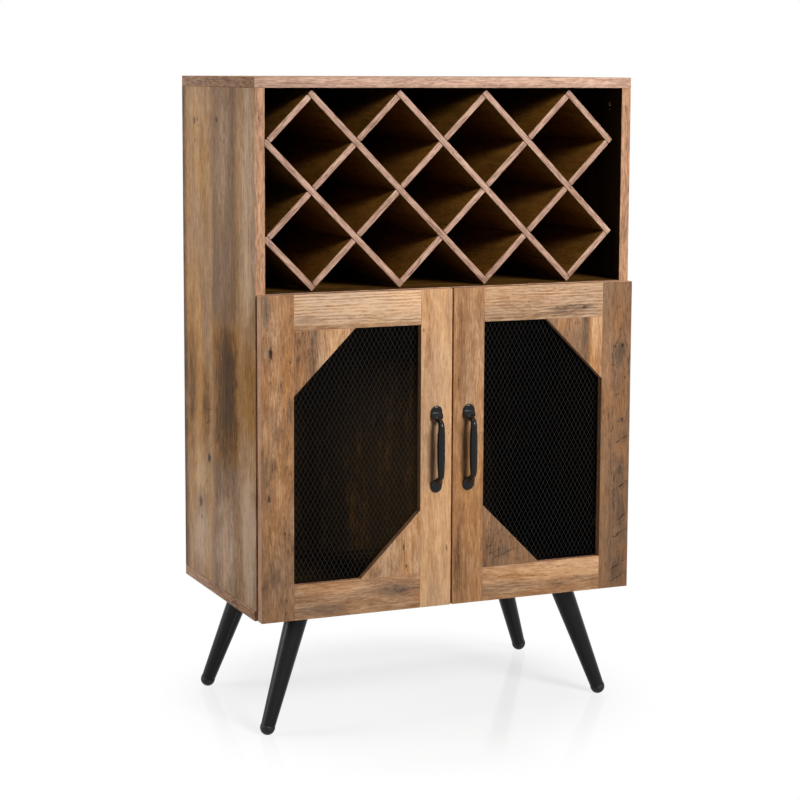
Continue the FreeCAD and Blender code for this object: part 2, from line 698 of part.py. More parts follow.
# Path of the grip from the middle to one end: shares of half the hole spacing along the handle and of
# the middle's stand-off, then shares of the grip's width and thickness
GRIP_SHARES = [
    (0.00, 1.000, 1.00, 1.00),
    (0.22, 0.990, 0.99, 0.99),
    (0.44, 0.950, 0.94, 0.96),
    (0.62, 0.885, 0.87, 0.92),
    (0.76, 0.790, 0.80, 0.88),
    (0.86, 0.640, 0.76, 0.84),
    (0.93, 0.440, 0.88, 0.82),
    (0.99, 0.250, 1.20, 0.80),
    (1.04, 0.110, 1.42, 0.70),
]


def grip_sections(sign):
    """Ellipses square to the grip's path, from one end past the middle to the other."""
    half = size("handle_hole_spacing") / 2
    stand_off = size("handle_projection") - size("handle_bar_thickness") / 2
    path = [(-a * half, b * stand_off, w, t) for a, b, w, t in reversed(GRIP_SHARES[1:])]
    path += [(a * half, b * stand_off, w, t) for a, b, w, t in GRIP_SHARES]
    middle_x = sign * (size("pivot_out") - size("door_width") + size("stile_width") / 2)
    sections = []
    for index, (level, out, width, thickness) in enumerate(path):
        before, after = path[max(index - 1, 0)], path[min(index + 1, len(path) - 1)]
        run = Vector(0, -(after[1] - before[1]), after[0] - before[0]).normalize()
        across = Vector(1, 0, 0) * (width * size("handle_bar_width") / 2)
        deep = run.cross(Vector(1, 0, 0)) * (thickness * size("handle_bar_thickness") / 2)
        centre = Vector(middle_x, size("door_front") - out, size("door_middle") + level)
        ellipse = Part.Ellipse(centre + across, centre + deep, centre)
        sections.append(Part.Wire([ellipse.toShape()]))
    return sections


def build_handle(door):
    """The cast bar pull: a swelling grip between two round pads, with blind threads."""
    grip = Part.makeLoft(grip_sections(door.sign), True, False)
    middle_x = door.sign * (size("pivot_out") - size("door_width") + size("stile_width") / 2)
    end = size("handle_length") / 2 - size("handle_pad_radius")
    casting = grip
    for sign in (-1, 1):
        centre = Vector(middle_x, size("door_front"), size("door_middle") + sign * end)
        pad = Part.makeCylinder(size("handle_pad_radius"), size("handle_pad_thickness"), centre, Vector(0, -1, 0))
        rim = [edge for edge in pad.Edges if edge.BoundBox.YMax < centre.y - size("handle_pad_thickness") / 2
               and edge.Closed]
        casting = casting.fuse(pad.makeFillet(size("handle_pad_round"), rim))
    behind = Part.makeBox(size("cabinet_width"), size("handle_projection"), size("cabinet_height"),
                          Vector(-size("half_width"), size("door_front"), 0))
    feature = doc.addObject("Part::Feature", "Casting")
    feature.Shape = casting.cut(behind).removeSplitter()
    threads = []
    screws = []
    for sign in (-1, 1):
        level = f"door_middle + ({sign}) * handle_hole_spacing / 2"
        x = door.across("door_width - stile_width / 2")
        threads.append(bore((x, "door_front", level), (0, -1, 0), "handle_screw_radius", "handle_screw_grip"))
        screws.append(headed_screw((x, "door_back", level), (0, -1, 0), "handle_screw_radius",
                                   "door_thickness + handle_screw_grip", "handle_head_radius", "handle_head_height",
                                   "handle screw"))
        door.stile_cuts["meeting"].append(rod((x, "door_front - overrun", level), (0, 1, 0),
                                              "handle_screw_radius + screw_play", "door_thickness + 2 * overrun",
                                              "handle hole"))
    node(f"{door.side}_handle", cut(feature, threads, f"{door.side}_handle"))
    group(f"{door.side}_handle_screws", screws)


def build_door(side, sign):
    door = Door(side, sign)
    step_low = "opening_bottom - rabbet_width"
    step_tall = "opening_top - opening_bottom + 2 * rabbet_width"
    door.stile_cuts["hinge"].append(mesh_step(door, "stile_width - rabbet_width", "rabbet_width + overrun",
                                              step_low, step_tall))
    door.stile_cuts["meeting"].append(mesh_step(door, "door_width - stile_width - overrun", "rabbet_width + overrun",
                                                step_low, step_tall))
    long_step = ("stile_width - overrun", "rail_length + 2 * overrun")
    door.rail_cuts["top"].append(mesh_step(door, *long_step, "opening_top - overrun", "rabbet_width + overrun"))
    door.rail_cuts["bottom"].append(mesh_step(door, *long_step, step_low, "rabbet_width + overrun"))
    add_mesh_screws(door)
    add_cups(door)
    build_handle(door)
    stiles = {"hinge": "0", "meeting": "door_width - stile_width"}
    for name, near in stiles.items():
        blank = door_block(door, near, "stile_width", "door_bottom", "door_height", f"{name} stile blank")
        node(door.name(f"{name}_stile"), cut(blank, door.stile_cuts[name], name))
    rails = {"top": "opening_top", "bottom": "door_bottom"}
    for name, level in rails.items():
        blank = door_block(door, "stile_width", "rail_length", level, "rail_height", f"{name} rail blank")
        node(door.name(f"{name}_rail"), cut(blank, door.rail_cuts[name], name))
    build_gussets(door)
    build_mesh(door)
    group(door.name("screws"), door.screws)
    return door


# Hinge arms, plates and links on the carcass side

def build_arm(door, level):
    """A cranked arm: from the plate forward past the door's edge to two cheeks round the pin."""
    sign = -door.sign
    nose = "hinge_pin_out"
    flat = "door_side_reveal"
    over = f"panel - {flat} + plate_rib_height"
    rear = "door_thickness + door_gap + arm_length"
    outline = [
        (f"{nose} - hinge_eye_radius", "hinge_pin_back"),
        (f"{nose} - hinge_eye_radius", "door_thickness + door_gap + hinge_eye_radius"),
        (over, "door_thickness + door_gap + cup_radius"),
        (over, rear),
        (f"{over} + arm_thickness", rear),
        (f"{over} + arm_thickness", "door_thickness + door_gap + cup_radius + arm_thickness / 2"),
        (f"{nose} + hinge_eye_radius", "door_thickness + door_gap + arm_thickness"),
        (f"{nose} + hinge_eye_radius", "hinge_pin_back"),
    ]
    body = plate_body([(f"({sign}) * ({x})", y) for x, y in outline], "XY_Plane", "arm_width", "arm blank")
    place(body, (door.across("0"), "door_front", f"{level} - arm_width / 2"))
    pin_point = (door.across(nose), "door_front + hinge_pin_back", f"{level} - arm_width / 2")
    nose_rod = rod(pin_point, (0, 0, 1), "hinge_eye_radius", "arm_width", "arm nose")
    gap_low = door.low(f"{nose} - 3 * hinge_eye_radius", "6 * hinge_eye_radius")
    gap = box((gap_low, "door_front", f"{level} - link_width / 2 - link_play"),
              ("6 * hinge_eye_radius", "hinge_pin_back + 2 * hinge_eye_radius", "link_width + 2 * link_play"),
              "link gap")
    forked = cut(fuse([body, nose_rod], "arm blank"), [gap], "forked arm")
    pin = rod(pin_point, (0, 0, 1), "hinge_pin_radius", "arm_width", "pin")
    return fuse([forked, pin], "hinge arm")


def build_plate(work, door, level):
    """The cross-shaped plate that carries the arm, with its two screws into the side panel."""
    face = "panel - door_side_reveal"
    wing = box((door.low(face, "plate_thickness"), "carcass_front + plate_setback - plate_wing_width / 2",
                f"{level} - plate_wing_height / 2"), ("plate_thickness", "plate_wing_width", "plate_wing_height"),
               "plate wing")
    rib = box((door.low(face, "plate_rib_height"), "carcass_front + arm_length - plate_setback",
               f"{level} - plate_rib_width / 2"), ("plate_rib_height", "plate_setback", "plate_rib_width"), "plate rib")
    holes = []
    outward = (door.sign, 0, 0)
    for sign in (-1, 1):
        seat = (door.across(f"{face} + plate_thickness"), "carcass_front + plate_setback",
                f"{level} + ({sign}) * plate_screw_spacing / 2")
        holes.append(bore(seat, outward, "panel_screw_radius", "plate_thickness + overrun"))
        work.screws.append(headed_screw(seat, outward, "panel_screw_radius", "panel_screw_length",
                                        "panel_head_radius", "panel_head_height", "plate screw"))
        work.add(f"{door.side}_side_panel", bore((door.across(face), seat[1], seat[2]), outward,
                                                 "panel_screw_radius", "panel_screw_length - plate_thickness"))
    return cut(fuse([wing, rib], "plate blank"), holes, "hinge plate")


def build_link(door, level):
    """A link on the arm's pin, whose tip lies inside the cup."""
    centre = (door.across("hinge_pin_out"), "door_front + hinge_pin_back", f"{level} - link_width / 2")
    angle = math.radians(LINK_REST_DEGREES)
    run = (door.sign * math.cos(angle), -math.sin(angle), 0)
    side = (-run[1], run[0], 0)
    start = along(centre, side, "-link_thickness / 2")
    degrees = math.degrees(math.atan2(run[1], run[0]))
    bar = box(start, ("link_length - link_thickness / 2", "link_thickness", "link_width"), "link bar",
              f"rotation(vector(0; 0; 1); {degrees:.6f})")
    tip = rod(along(centre, run, "link_length - link_thickness / 2"), (0, 0, 1), "link_thickness / 2", "link_width",
              "link tip")
    eye = rod(centre, (0, 0, 1), "hinge_eye_radius", "link_width", "link eye")
    hole = rod(along(centre, (0, 0, -1), "overrun"), (0, 0, 1), "hinge_pin_radius + hinge_pin_play",
               "link_width + 2 * overrun", "link hole")
    return cut(fuse([bar, tip, eye], "link blank"), [hole], "hinge link")


def build_hinges(work, doors):
    arms = []
    plates = []
    for door in doors:
        links = []
        for level in hinge_levels():
            arms.append(build_arm(door, level))
            plates.append(build_plate(work, door, level))
            links.append(build_link(door, level))
        group(f"{door.side}_hinge_links", links)
    group("hinge_arms", arms)
    group("hinge_plates", plates)


# Legs

def leaning_rod(foot, lean, start, radius, length, label):
    """A rod on a leg's axis, from a distance above the foot."""
    shape = doc.addObject("Part::Cylinder", "Rod")
    shape.Label = label
    bind(shape, Radius=radius, Height=length)
    place(shape, foot, lean, start)
    return shape


def build_leg(work, side, side_sign, end, end_sign):
    """One splayed leg with its foot cap, its slanted bracket and the bolt between them."""
    name = f"{end}_{side}"
    foot = (f"({side_sign}) * (half_width - foot_inset_side)",
            f"carcass_middle + ({end_sign}) * (carcass_depth / 2 - foot_inset_end)", "0")
    lean = f"rotation(vector(({end_sign}) * foot_run_end; (-({side_sign})) * foot_run_side; 0); leg_tilt)"
    reach = "(cap_peg_length + screw_play)"
    hole = "(cap_peg_radius + screw_play)"
    socket = "(leg_bolt_radius + screw_play)"
    depth = "(leg_end - leg_bolt_in_leg - screw_play)"
    profile = [
        (hole, "leg_start"), ("leg_foot_radius", "leg_start"), ("leg_top_radius", "leg_end"), (socket, "leg_end"),
        (socket, depth), ("0", depth), ("0", f"leg_start + {reach}"), (hole, f"leg_start + {reach}"),
    ]
    leg = turned_body(profile, f"{name}_leg")
    place(leg, foot, lean)
    node(f"{name}_leg", leg)
    dome = doc.addObject("Part::Sphere", "Dome")
    bind(dome, Radius="cap_radius")
    dome.Angle1 = -90
    dome.Angle2 = 0
    dome.setExpression("Placement.Base.z", expand("cap_centre"))
    rim = rod(("0", "0", "cap_centre"), (0, 0, 1), "cap_radius", "cap_rim", "cap rim")
    peg = rod(("0", "0", "cap_centre"), (0, 0, 1), "cap_peg_radius", "cap_rim + cap_peg_length", "cap peg")
    cap = fuse([dome, rim, peg], "cap blank")
    place(cap, foot, lean)
    span = "4 * cap_radius"
    below = box((f"{foot[0]} - ({span}) / 2", f"{foot[1]} - ({span}) / 2", "-cap_radius"), (span, span, "cap_radius"),
                "floor cut")
    node(f"{name}_foot_cap", cut(cap, [below], f"{name}_foot_cap"))
    bolt = leaning_rod(foot, lean, "leg_end - leg_bolt_in_leg", "leg_bolt_radius",
                       "leg_bolt_in_leg + leg_bolt_in_bracket", "leg bolt")
    return bolt, build_bracket(work, side_sign, end_sign, foot, lean)


def build_bracket(work, side_sign, end_sign, foot, lean):
    centre_x = f"({side_sign}) * (half_width - leg_top_inset_side)"
    centre_y = f"carcass_middle + ({end_sign}) * (carcass_depth / 2 - leg_top_inset_end)"
    plate = box((f"{centre_x} - bracket_side / 2", f"{centre_y} - bracket_side / 2", "leg_height - bracket_thickness"),
                ("bracket_side", "bracket_side", "bracket_thickness"), "bracket plate")
    boss = leaning_rod(foot, lean, "leg_end", "bracket_socket_radius", "bracket_side", "bracket boss")
    zone = box((f"{centre_x} - bracket_side / 2", f"{centre_y} - bracket_side / 2", "leg_height - bracket_side"),
               ("bracket_side", "bracket_side", "bracket_side - bracket_thickness"), "boss zone")
    trimmed = doc.addObject("Part::Common", "Boss")
    trimmed.Base = boss
    trimmed.Tool = zone
    thread = leaning_rod(foot, lean, "leg_end - overrun", "leg_bolt_radius + screw_play",
                         "overrun + leg_bolt_in_bracket + screw_play", "bracket thread")
    holes = [thread]
    for across in (-1, 1):
        for deep in (-1, 1):
            seat = (f"{centre_x} + ({across}) * (bracket_side / 2 - bracket_screw_inset)",
                    f"{centre_y} + ({deep}) * (bracket_side / 2 - bracket_screw_inset)",
                    "leg_height - bracket_thickness")
            holes.append(bore(seat, (0, 0, 1), "panel_screw_radius", "bracket_thickness + overrun"))
            work.screws.append(headed_screw(seat, (0, 0, 1), "panel_screw_radius", "panel_screw_length",
                                            "panel_head_radius", "panel_head_height", "bracket screw"))
            work.add("bottom_panel", bore((seat[0], seat[1], "leg_height"), (0, 0, 1), "panel_screw_radius",
                                          "panel_screw_length - bracket_thickness"))
    return cut(fuse([plate, trimmed], "bracket blank"), holes, "leg bracket")


def build_legs(work):
    bolts = []
    brackets = []
    for end, end_sign in (("front", -1), ("rear", 1)):
        for side, side_sign in (("left", -1), ("right", 1)):
            bolt, bracket = build_leg(work, side, side_sign, end, end_sign)
            bolts.append(bolt)
            brackets.append(bracket)
    group("leg_bolts", bolts)
    group("leg_brackets", brackets)


def check_document():
    for item in doc.Objects:
        if "Invalid" in item.State or "Error" in item.State:
            raise RuntimeError(f"{item.Label} failed: {item.State}")
    for name, shape in NODES:
        if shape.Shape.isNull() or not shape.Shape.isValid():
            raise RuntimeError(f"{name} has no valid shape")


def write_parts():
    os.makedirs("parts", exist_ok=True)
    for name, shape in NODES:
        shape.Shape.exportStep(f"parts/{name}.step")
        print(f"{name}: {len(shape.Shape.Solids)} solids, {shape.Shape.Volume / 1000:.1f} cm3")


def main():
    fill_sheet()
    work = Carcass()
    join_carcass(work)
    back_grooves(work)
    doors = [build_door("left", -1), build_door("right", 1)]
    build_hinges(work, doors)
    build_legs(work)
    build_carcass(work)
    build_rack()
    doc.recompute()
    check_document()
    write_parts()


main()
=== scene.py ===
import json
import math
from functools import reduce

import bmesh
import bpy
from bpy.props import FloatProperty, FloatVectorProperty, IntProperty, PointerProperty
from mathutils import Matrix, Vector

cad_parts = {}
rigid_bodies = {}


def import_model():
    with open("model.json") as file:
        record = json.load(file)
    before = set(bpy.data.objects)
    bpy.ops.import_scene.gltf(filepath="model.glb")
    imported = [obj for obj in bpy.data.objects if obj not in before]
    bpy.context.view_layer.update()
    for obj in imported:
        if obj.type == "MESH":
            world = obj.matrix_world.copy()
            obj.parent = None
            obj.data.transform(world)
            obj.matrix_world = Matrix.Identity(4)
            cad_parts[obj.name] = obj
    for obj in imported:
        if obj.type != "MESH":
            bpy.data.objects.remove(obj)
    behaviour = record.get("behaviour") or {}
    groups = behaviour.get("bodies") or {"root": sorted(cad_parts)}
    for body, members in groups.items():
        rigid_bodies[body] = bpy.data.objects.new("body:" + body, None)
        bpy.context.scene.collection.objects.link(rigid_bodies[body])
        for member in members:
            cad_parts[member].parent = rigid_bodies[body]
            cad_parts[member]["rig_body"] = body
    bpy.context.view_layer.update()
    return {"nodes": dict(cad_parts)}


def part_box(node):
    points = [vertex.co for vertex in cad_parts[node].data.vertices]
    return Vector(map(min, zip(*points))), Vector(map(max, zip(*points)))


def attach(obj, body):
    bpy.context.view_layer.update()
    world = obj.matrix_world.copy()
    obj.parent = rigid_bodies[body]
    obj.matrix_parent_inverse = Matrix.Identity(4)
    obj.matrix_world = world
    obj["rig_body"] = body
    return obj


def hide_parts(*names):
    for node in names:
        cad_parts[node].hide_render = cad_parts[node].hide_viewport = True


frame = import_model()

bl_info = {
    "name": "Wine rack cabinet",
    "version": (1, 0, 0),
    "blender": (4, 5, 0),
    "location": "View3D > Sidebar > Cabinet",
    "description": "Dresses the wine rack cabinet in rustic oak, black metal mesh and black lacquer",
    "category": "Object",
}

SIDES = ("left", "right")
WHITE = (1.0, 1.0, 1.0, 1.0)

# How the figure's grain, which runs along Z, is turned for a board
GRAIN_TURN = {
    "Z": (0, 0, 0),
    "X": (0, math.radians(-90), 0),
    "Y": (math.radians(90), 0, 0),
    "FALLING": (0, math.radians(45), 0),
    "RISING": (0, math.radians(-45), 0),
}

# Distance between the ripples of a raked board
RAKE_PITCH = 0.0046

# The least share of a face's normal along an axis: for a face that looks that way, and for a rounded edge
SQUARE_ON = 0.9
SLANTED = 0.2

# Kinds of oak: how far apart its seeds lie along each axis, how it takes light, the strength and depth of its
# relief, and for kinds without a figure of their own the weights of the shared figure's parts and marks
BOARD = {"steps": (1.37, 2.11, 0.73), "roughness": 0.55, "specular": 0.05, "relief": (0.25, 0.0004)}
BANDING = {"steps": (1.9, 0.7, 1.3), "roughness": 0.5, "specular": 0.12, "relief": (0.2, 0.0003),
           "weights": {"Fibres": 0.44, "Streaks": 0.28, "Clouds": 0.16}, "marks": {"Flecks": 0.35, "Cracks": 0.4}}
# The inside kind is oak darkened to paint in the shade inside the cabinet and inside the rack's cells
INSIDE_PAINTED_SHADE = {"steps": (1.1, 1.7, 0.9), "roughness": 0.6, "specular": 0.06, "relief": (0.2, 0.0003),
          "weights": {"Bands": 0.08, "Streaks": 0.10, "Fibres": 0.10, "Clouds": 0.08},
          "marks": {"Flecks": 0.25, "Cracks": 0.45}}
HARDBOARD_RELIEF = (0.3, 0.0003)
COAT_RELIEF = (0.4, 0.00006)
KNOT_GREYING = 0.6

# The floor as the camera sees it, and as it throws light back; then, outwards from its middle, where its shadow and
# its gloss fade out, and how much glow and gloss it has from there inwards
FLOOR_WHITE = (0.95, 0.95, 0.95, 1.0)
FLOOR_GREY = (0.22, 0.22, 0.22, 1.0)
SHADOW_FADE = (0.22, 0.40)
GLOSS_FADE = (0.22, 0.42)
SHADOW_GLOW = 0.73
FLOOR_GLOSS = 0.07


def colour(red, green, blue):
    """A colour from its 0 to 255 values, as the renderer counts light."""
    values = [value / 255 for value in (red, green, blue)]
    return tuple(v / 12.92 if v <= 0.04045 else ((v + 0.055) / 1.055) ** 2.4 for v in values) + (1.0,)


# Settings

def shade(name, description, default):
    return FloatVectorProperty(name=name, description=description, default=default, size=4, min=0, max=1,
                               subtype="COLOR")


def length(name, description, default):
    return FloatProperty(name=name, description=description, default=default, unit="LENGTH", subtype="DISTANCE",
                         precision=5)


def angle(name, description, degrees):
    return FloatProperty(name=name, description=description, default=math.radians(degrees), unit="ROTATION",
                         subtype="ANGLE")


def power(name, description, default):
    return FloatProperty(name=name, description=description, default=default, min=0, unit="POWER")


class OakSettings(bpy.types.PropertyGroup):
    crack: shade("Cracks", "Cracks, pores and the middles of knots", colour(52, 38, 29))
    deep: shade("Deep brown", "Darkest golden streaks", colour(118, 82, 55))
    middle: shade("Middle brown", "Most of a golden board", colour(178, 127, 82))
    pale: shade("Pale tan", "Lightest golden streaks", colour(236, 190, 144))
    deep_grey: shade("Weathered deep", "Darkest weathered streaks", colour(98, 77, 62))
    middle_grey: shade("Weathered middle", "Most of a weathered board", colour(150, 119, 94))
    pale_grey: shade("Weathered pale", "Lightest weathered streaks", colour(216, 184, 156))
    band_deep: shade("Edge band, deep", "Dark fibres of the edge banding", colour(124, 88, 72))
    band_pale: shade("Edge band, pale", "Pale fibres of the edge banding", colour(233, 192, 167))
    edge_deep: shade("Bare edge, deep", "Dark fibres of the browner edges", colour(92, 60, 38))
    edge_pale: shade("Bare edge, pale", "Pale fibres of the browner edges", colour(220, 168, 130))
    side_deep: shade("Side, deep", "Darkest golden streaks of the left side", colour(98, 67, 36))
    side_middle: shade("Side, middle", "Most of the left side's golden parts", colour(183, 132, 76))
    side_pale: shade("Side, pale", "Lightest golden streaks of the left side", colour(236, 194, 144))
    # Painted shade: the inward faces and the rack's cells take these darkened colours, standing for the shade inside
    painted_shade_dark: shade("Inside, dark", "Darkest fibres of the inner faces", colour(9, 6, 3))
    painted_shade_brown: shade("Inside, brown", "Middle tone of the inner faces", colour(44, 30, 11))
    painted_shade_gold: shade("Inside, gold", "Lightest fibres of the inner faces", colour(154, 103, 40))
    ease: length("Eased edge", "Width of the rounding along board edges", 0.0006)


class MetalSettings(bpy.types.PropertyGroup):
    black: shade("Black metal", "Powder coat on mesh and leg brackets", colour(14, 14, 15))
    lacquer: shade("Black lacquer", "Satin black on the legs, foot caps and handles", colour(11, 11, 11))
    nickel: shade("Nickel", "Plating of hinges and cam fittings", colour(196, 194, 190))
    zinc: shade("Zinc", "Plating of screws", colour(176, 178, 180))
    strand_width: length("Strand width", "Face of one mesh strand", 0.00037)
    strand_thickness: length("Strand thickness", "Sheet thickness of the mesh", 0.0004)
    cells_across: IntProperty(name="Cells across", description="Mesh diamonds across a door", default=29, min=4)
    cells_up: IntProperty(name="Cells up", description="Mesh diamonds up a door", default=29, min=4)


class StageSettings(bpy.types.PropertyGroup):
    camera_place: FloatVectorProperty(name="Camera place", description="Where the camera stands",
                                      default=(-1.2831, -2.8972, 0.9429), size=3, subtype="TRANSLATION",
                                      unit="LENGTH")
    camera_yaw: angle("Yaw", "Turn of the view towards +X", 23.652)
    camera_pitch: angle("Pitch", "Downward tilt of the view", 7.135)
    camera_roll: angle("Roll", "Lean of the picture", 0.252)
    camera_lens: FloatProperty(name="Lens", description="Focal length on a 36 mm wide sensor", default=96.43,
                               unit="CAMERA")
    camera_shift: FloatProperty(name="Shift", description="Upward shift of the picture frame", default=-0.08)
    key_power: power("Key lamp", "Soft lamp in front on the right", 108)
    fill_power: power("Fill lamp", "Soft lamp on the left", 32)
    top_power: power("Top lamp", "Soft lamp overhead", 40)
    sky_level: FloatProperty(name="Sky", description="Even light from all round", default=0.045, min=0)


# Shader node helpers

def add(tree, kind, inputs=None, **settings):
    """A node with its settings, and its inputs set or linked."""
    made = tree.nodes.new(kind)
    for name, value in settings.items():
        setattr(made, name, value)
    for name, value in (inputs or {}).items():
        if isinstance(value, Signal):
            tree.links.new(value.socket, made.inputs[name])
        else:
            made.inputs[name].default_value = value
    return made


class Signal:
    """A node's output, on which plain arithmetic adds Math or Vector Math nodes to its tree."""

    def __init__(self, socket):
        self.socket = socket
        self.tree = socket.id_data

    def maths(self, operation, *inputs, output=0, **settings):
        kind = "ShaderNodeMath" if self.socket.type == "VALUE" else "ShaderNodeVectorMath"
        made = add(self.tree, kind, dict(enumerate(inputs)), operation=operation, **settings)
        return Signal(made.outputs[output])

    def __add__(self, other):
        return self.maths("ADD", self, other)

    def __radd__(self, other):
        return self.maths("ADD", other, self)

    def __sub__(self, other):
        return self.maths("SUBTRACT", self, other)

    def __mul__(self, other):
        return self.maths("MULTIPLY", self, other)

    def __truediv__(self, other):
        return self.maths("DIVIDE", self, other)

    def __abs__(self):
        return self.maths("ABSOLUTE", self)


def clamped(value, more):
    """The sum of two values, kept between 0 and 1."""
    return value.maths("ADD", value, more, use_clamp=True)


def largest(*values):
    return reduce(lambda first, second: first.maths("MAXIMUM", first, second), values)


def weigh(value, weight):
    """A 0 to 1 value moved to lie about zero, times a weight."""
    return (value - 0.5) * weight


def ramp_between(value, start, end, first=0.0, last=1.0, kind="SMOOTHSTEP"):
    """The first level up to start, the last level from end on, and in between eased unless kind says otherwise."""
    made = add(value.tree, "ShaderNodeMapRange", {"Value": value, "From Min": start, "From Max": end,
                                                  "To Min": first, "To Max": last}, interpolation_type=kind)
    return Signal(made.outputs["Result"])


def noise(vector, scale, detail, roughness=0.5, output="Fac"):
    made = add(vector.tree, "ShaderNodeTexNoise", {"Vector": vector, "Scale": scale, "Detail": detail,
                                                   "Roughness": roughness}, noise_dimensions="3D")
    return Signal(made.outputs[output])


def sway(vector, reach, scale, detail, roughness=0.5):
    """A small shift that wanders from place to place, at most half its reach each way."""
    return (noise(vector, scale, detail, roughness, "Color") - (0.5, 0.5, 0.5)) * reach


def blend_colours(factor, first, second):
    made = add(factor.tree, "ShaderNodeMix", {0: factor, 6: first, 7: second}, data_type="RGBA")
    return Signal(made.outputs[2])


def colour_ramp(value, stops):
    made = add(value.tree, "ShaderNodeValToRGB", {"Fac": value})
    elements = made.color_ramp.elements
    while len(elements) < len(stops):
        elements.new(0.5)
    for element, (position, tint) in zip(elements, stops):
        element.position = position
        element.color = tint
    return Signal(made.outputs["Color"])


def new_group(name, places, values, outputs):
    """A node group with vector inputs, number inputs and number outputs: its tree, and each input."""
    tree = bpy.data.node_groups.new(name, "ShaderNodeTree")
    for labels, side, kind in ((places, "INPUT", "NodeSocketVector"), (values, "INPUT", "NodeSocketFloat"),
                               (outputs, "OUTPUT", "NodeSocketFloat")):
        for label in labels:
            tree.interface.new_socket(name=label, in_out=side, socket_type=kind)
    source = tree.nodes.new("NodeGroupInput")
    return tree, *[Signal(source.outputs[label]) for label in (*places, *values)]


def use_group(name, **inputs):
    """The outputs of a node group, by name."""
    made = add(inputs["Vector"].tree, "ShaderNodeGroup", inputs, node_tree=bpy.data.node_groups[name])
    return {output.name: Signal(output) for output in made.outputs}


# Shared effects

def build_oak_figure():
    """The figure of weathered oak whose grain runs along Z: each output is a mask from 0 to 1."""
    outputs = ("Bands", "Streaks", "Fibres", "Clouds", "Rake", "Flecks", "Cracks", "Scratches", "Warmth", "Height")
    tree, vector = new_group("oak_figure", ["Vector"], [], outputs)
    bent = vector + sway(vector, (0.014, 0.014, 0.0), 9.0, 3.0)

    def mask(scale, detail, roughness, low, high, place=bent):
        """Noise stretched by its own scale along each axis, as a mask."""
        return ramp_between(noise(place * scale, 1.0, detail, roughness), low, high)

    bands = mask((30, 30, 1.6), 2.0, 0.5, 0.36, 0.64)
    streaks = mask((110, 110, 11.0), 7.0, 0.74, 0.34, 0.66)
    fibres = mask((500, 500, 50.0), 3.0, 0.65, 0.34, 0.66)
    clouds = mask((46, 46, 19), 7.0, 0.74, 0.34, 0.66)
    across = Signal(add(tree, "ShaderNodeSeparateXYZ", {"Vector": vector}).outputs["X"])
    phase = noise(vector * (80, 80, 20), 1.0, 4.0, 0.65) * 10.0
    wave = across.maths("SINE", across * (2 * math.pi / RAKE_PITCH) + phase)
    rake = wave * (mask((90, 90, 12), 2.0, 0.5, 0.40, 0.60) * 0.42 + 0.08) + 0.5
    warmth = mask((26, 26, 5.0), 4.0, 0.6, 0.36, 0.64, vector)
    flecks = mask((460, 460, 110), 3.0, 0.7, 0.58, 0.68)
    crack_zone = mask((26, 26, 8.0), 3.0, 0.6, 0.47, 0.62, vector)
    cracks = mask((240, 240, 16), 5.0, 0.74, 0.585, 0.655) * crack_zone
    turned = Signal(add(tree, "ShaderNodeMapping", {"Vector": vector, "Rotation": (0.9, 0.9, 0.4)}).outputs[0])
    saw_zone = mask((16, 16, 9), 3.0, 0.6, 0.48, 0.62, vector)
    scratches = mask((300, 300, 14), 4.0, 0.68, 0.56, 0.66, turned) * saw_zone
    height = weigh(fibres, 0.5) + weigh(streaks, 0.4) + 0.5 - cracks * 0.8
    results = (bands, streaks, fibres, clouds, rake, flecks, cracks, scratches, warmth, height)
    add(tree, "NodeGroupOutput", dict(zip(outputs, results)))


def build_mark(name, jitter_scale, jitter, low, high):
    """A mark round a centre that fades out at its reach, with a ragged outline."""
    tree, vector, centre, reach = new_group(name, ["Vector", "Centre", "Reach"], [], ["Mask"])
    point = (vector - centre) / reach + sway(vector, (jitter,) * 3, jitter_scale, 4.0, 0.6)
    distance = point.maths("LENGTH", point, output="Value")
    add(tree, "NodeGroupOutput", {"Mask": ramp_between(distance, high, low)})


def build_strip():
    """A long patch with straight, slightly soft sides, like one stave of a glued-up board."""
    tree, vector, centre, reach, softness = new_group("strip", ["Vector", "Centre", "Reach"], ["Softness"], ["Mask"])
    beyond = abs(vector - centre + sway(vector, (0.012,) * 3, 14.0, 4.0)) - reach
    axes = add(tree, "ShaderNodeSeparateXYZ", {"Vector": beyond}).outputs
    edge = largest(*[Signal(axis) for axis in axes]) / softness
    add(tree, "NodeGroupOutput", {"Mask": ramp_between(edge, 1.0, -1.0)})


def build_crack_line():
    """A thin bowed line: Along and Across are its directions, each over the line's half length or half width."""
    tree, vector, centre, along_line, across_line, bow = new_group(
        "crack_line", ["Vector", "Centre", "Along", "Across"], ["Bow"], ["Mask"])
    point = vector - centre + sway(vector, (0.008,) * 3, 160.0, 3.0)
    along, across = (point.maths("DOT_PRODUCT", point, way, output="Value") for way in (along_line, across_line))
    thin = ramp_between(abs(across + along * along * bow), 1.0, 0.25)
    ended = ramp_between(abs(along), 1.0, 0.6)
    broken = ramp_between(noise(vector, 110.0, 3.0), 0.34, 0.60)
    add(tree, "NodeGroupOutput", {"Mask": thin * ended * broken})


def build_coat_texture():
    """The fine unevenness of a coat of paint or plating, as a roughness change and a height."""
    tree, vector, grit = new_group("coat_texture", ["Vector"], ["Grit"], ["Change", "Height"])
    fine = noise(vector, grit, 3.0)
    change = weigh(fine, 0.3) + weigh(noise(vector, 24.0, 4.0), 0.7)
    add(tree, "NodeGroupOutput", {"Change": change, "Height": fine})


# Materials

def new_tree(owner):
    """The cleared node tree of a material or world."""
    owner.use_nodes = True
    owner.node_tree.nodes.clear()
    return owner.node_tree


def finish_tree(tree, kind, shader):
    add(tree, kind, {"Surface": Signal(shader.outputs[0])})


def new_material(name):
    made = bpy.data.materials.new(name)
    return made, new_tree(made)


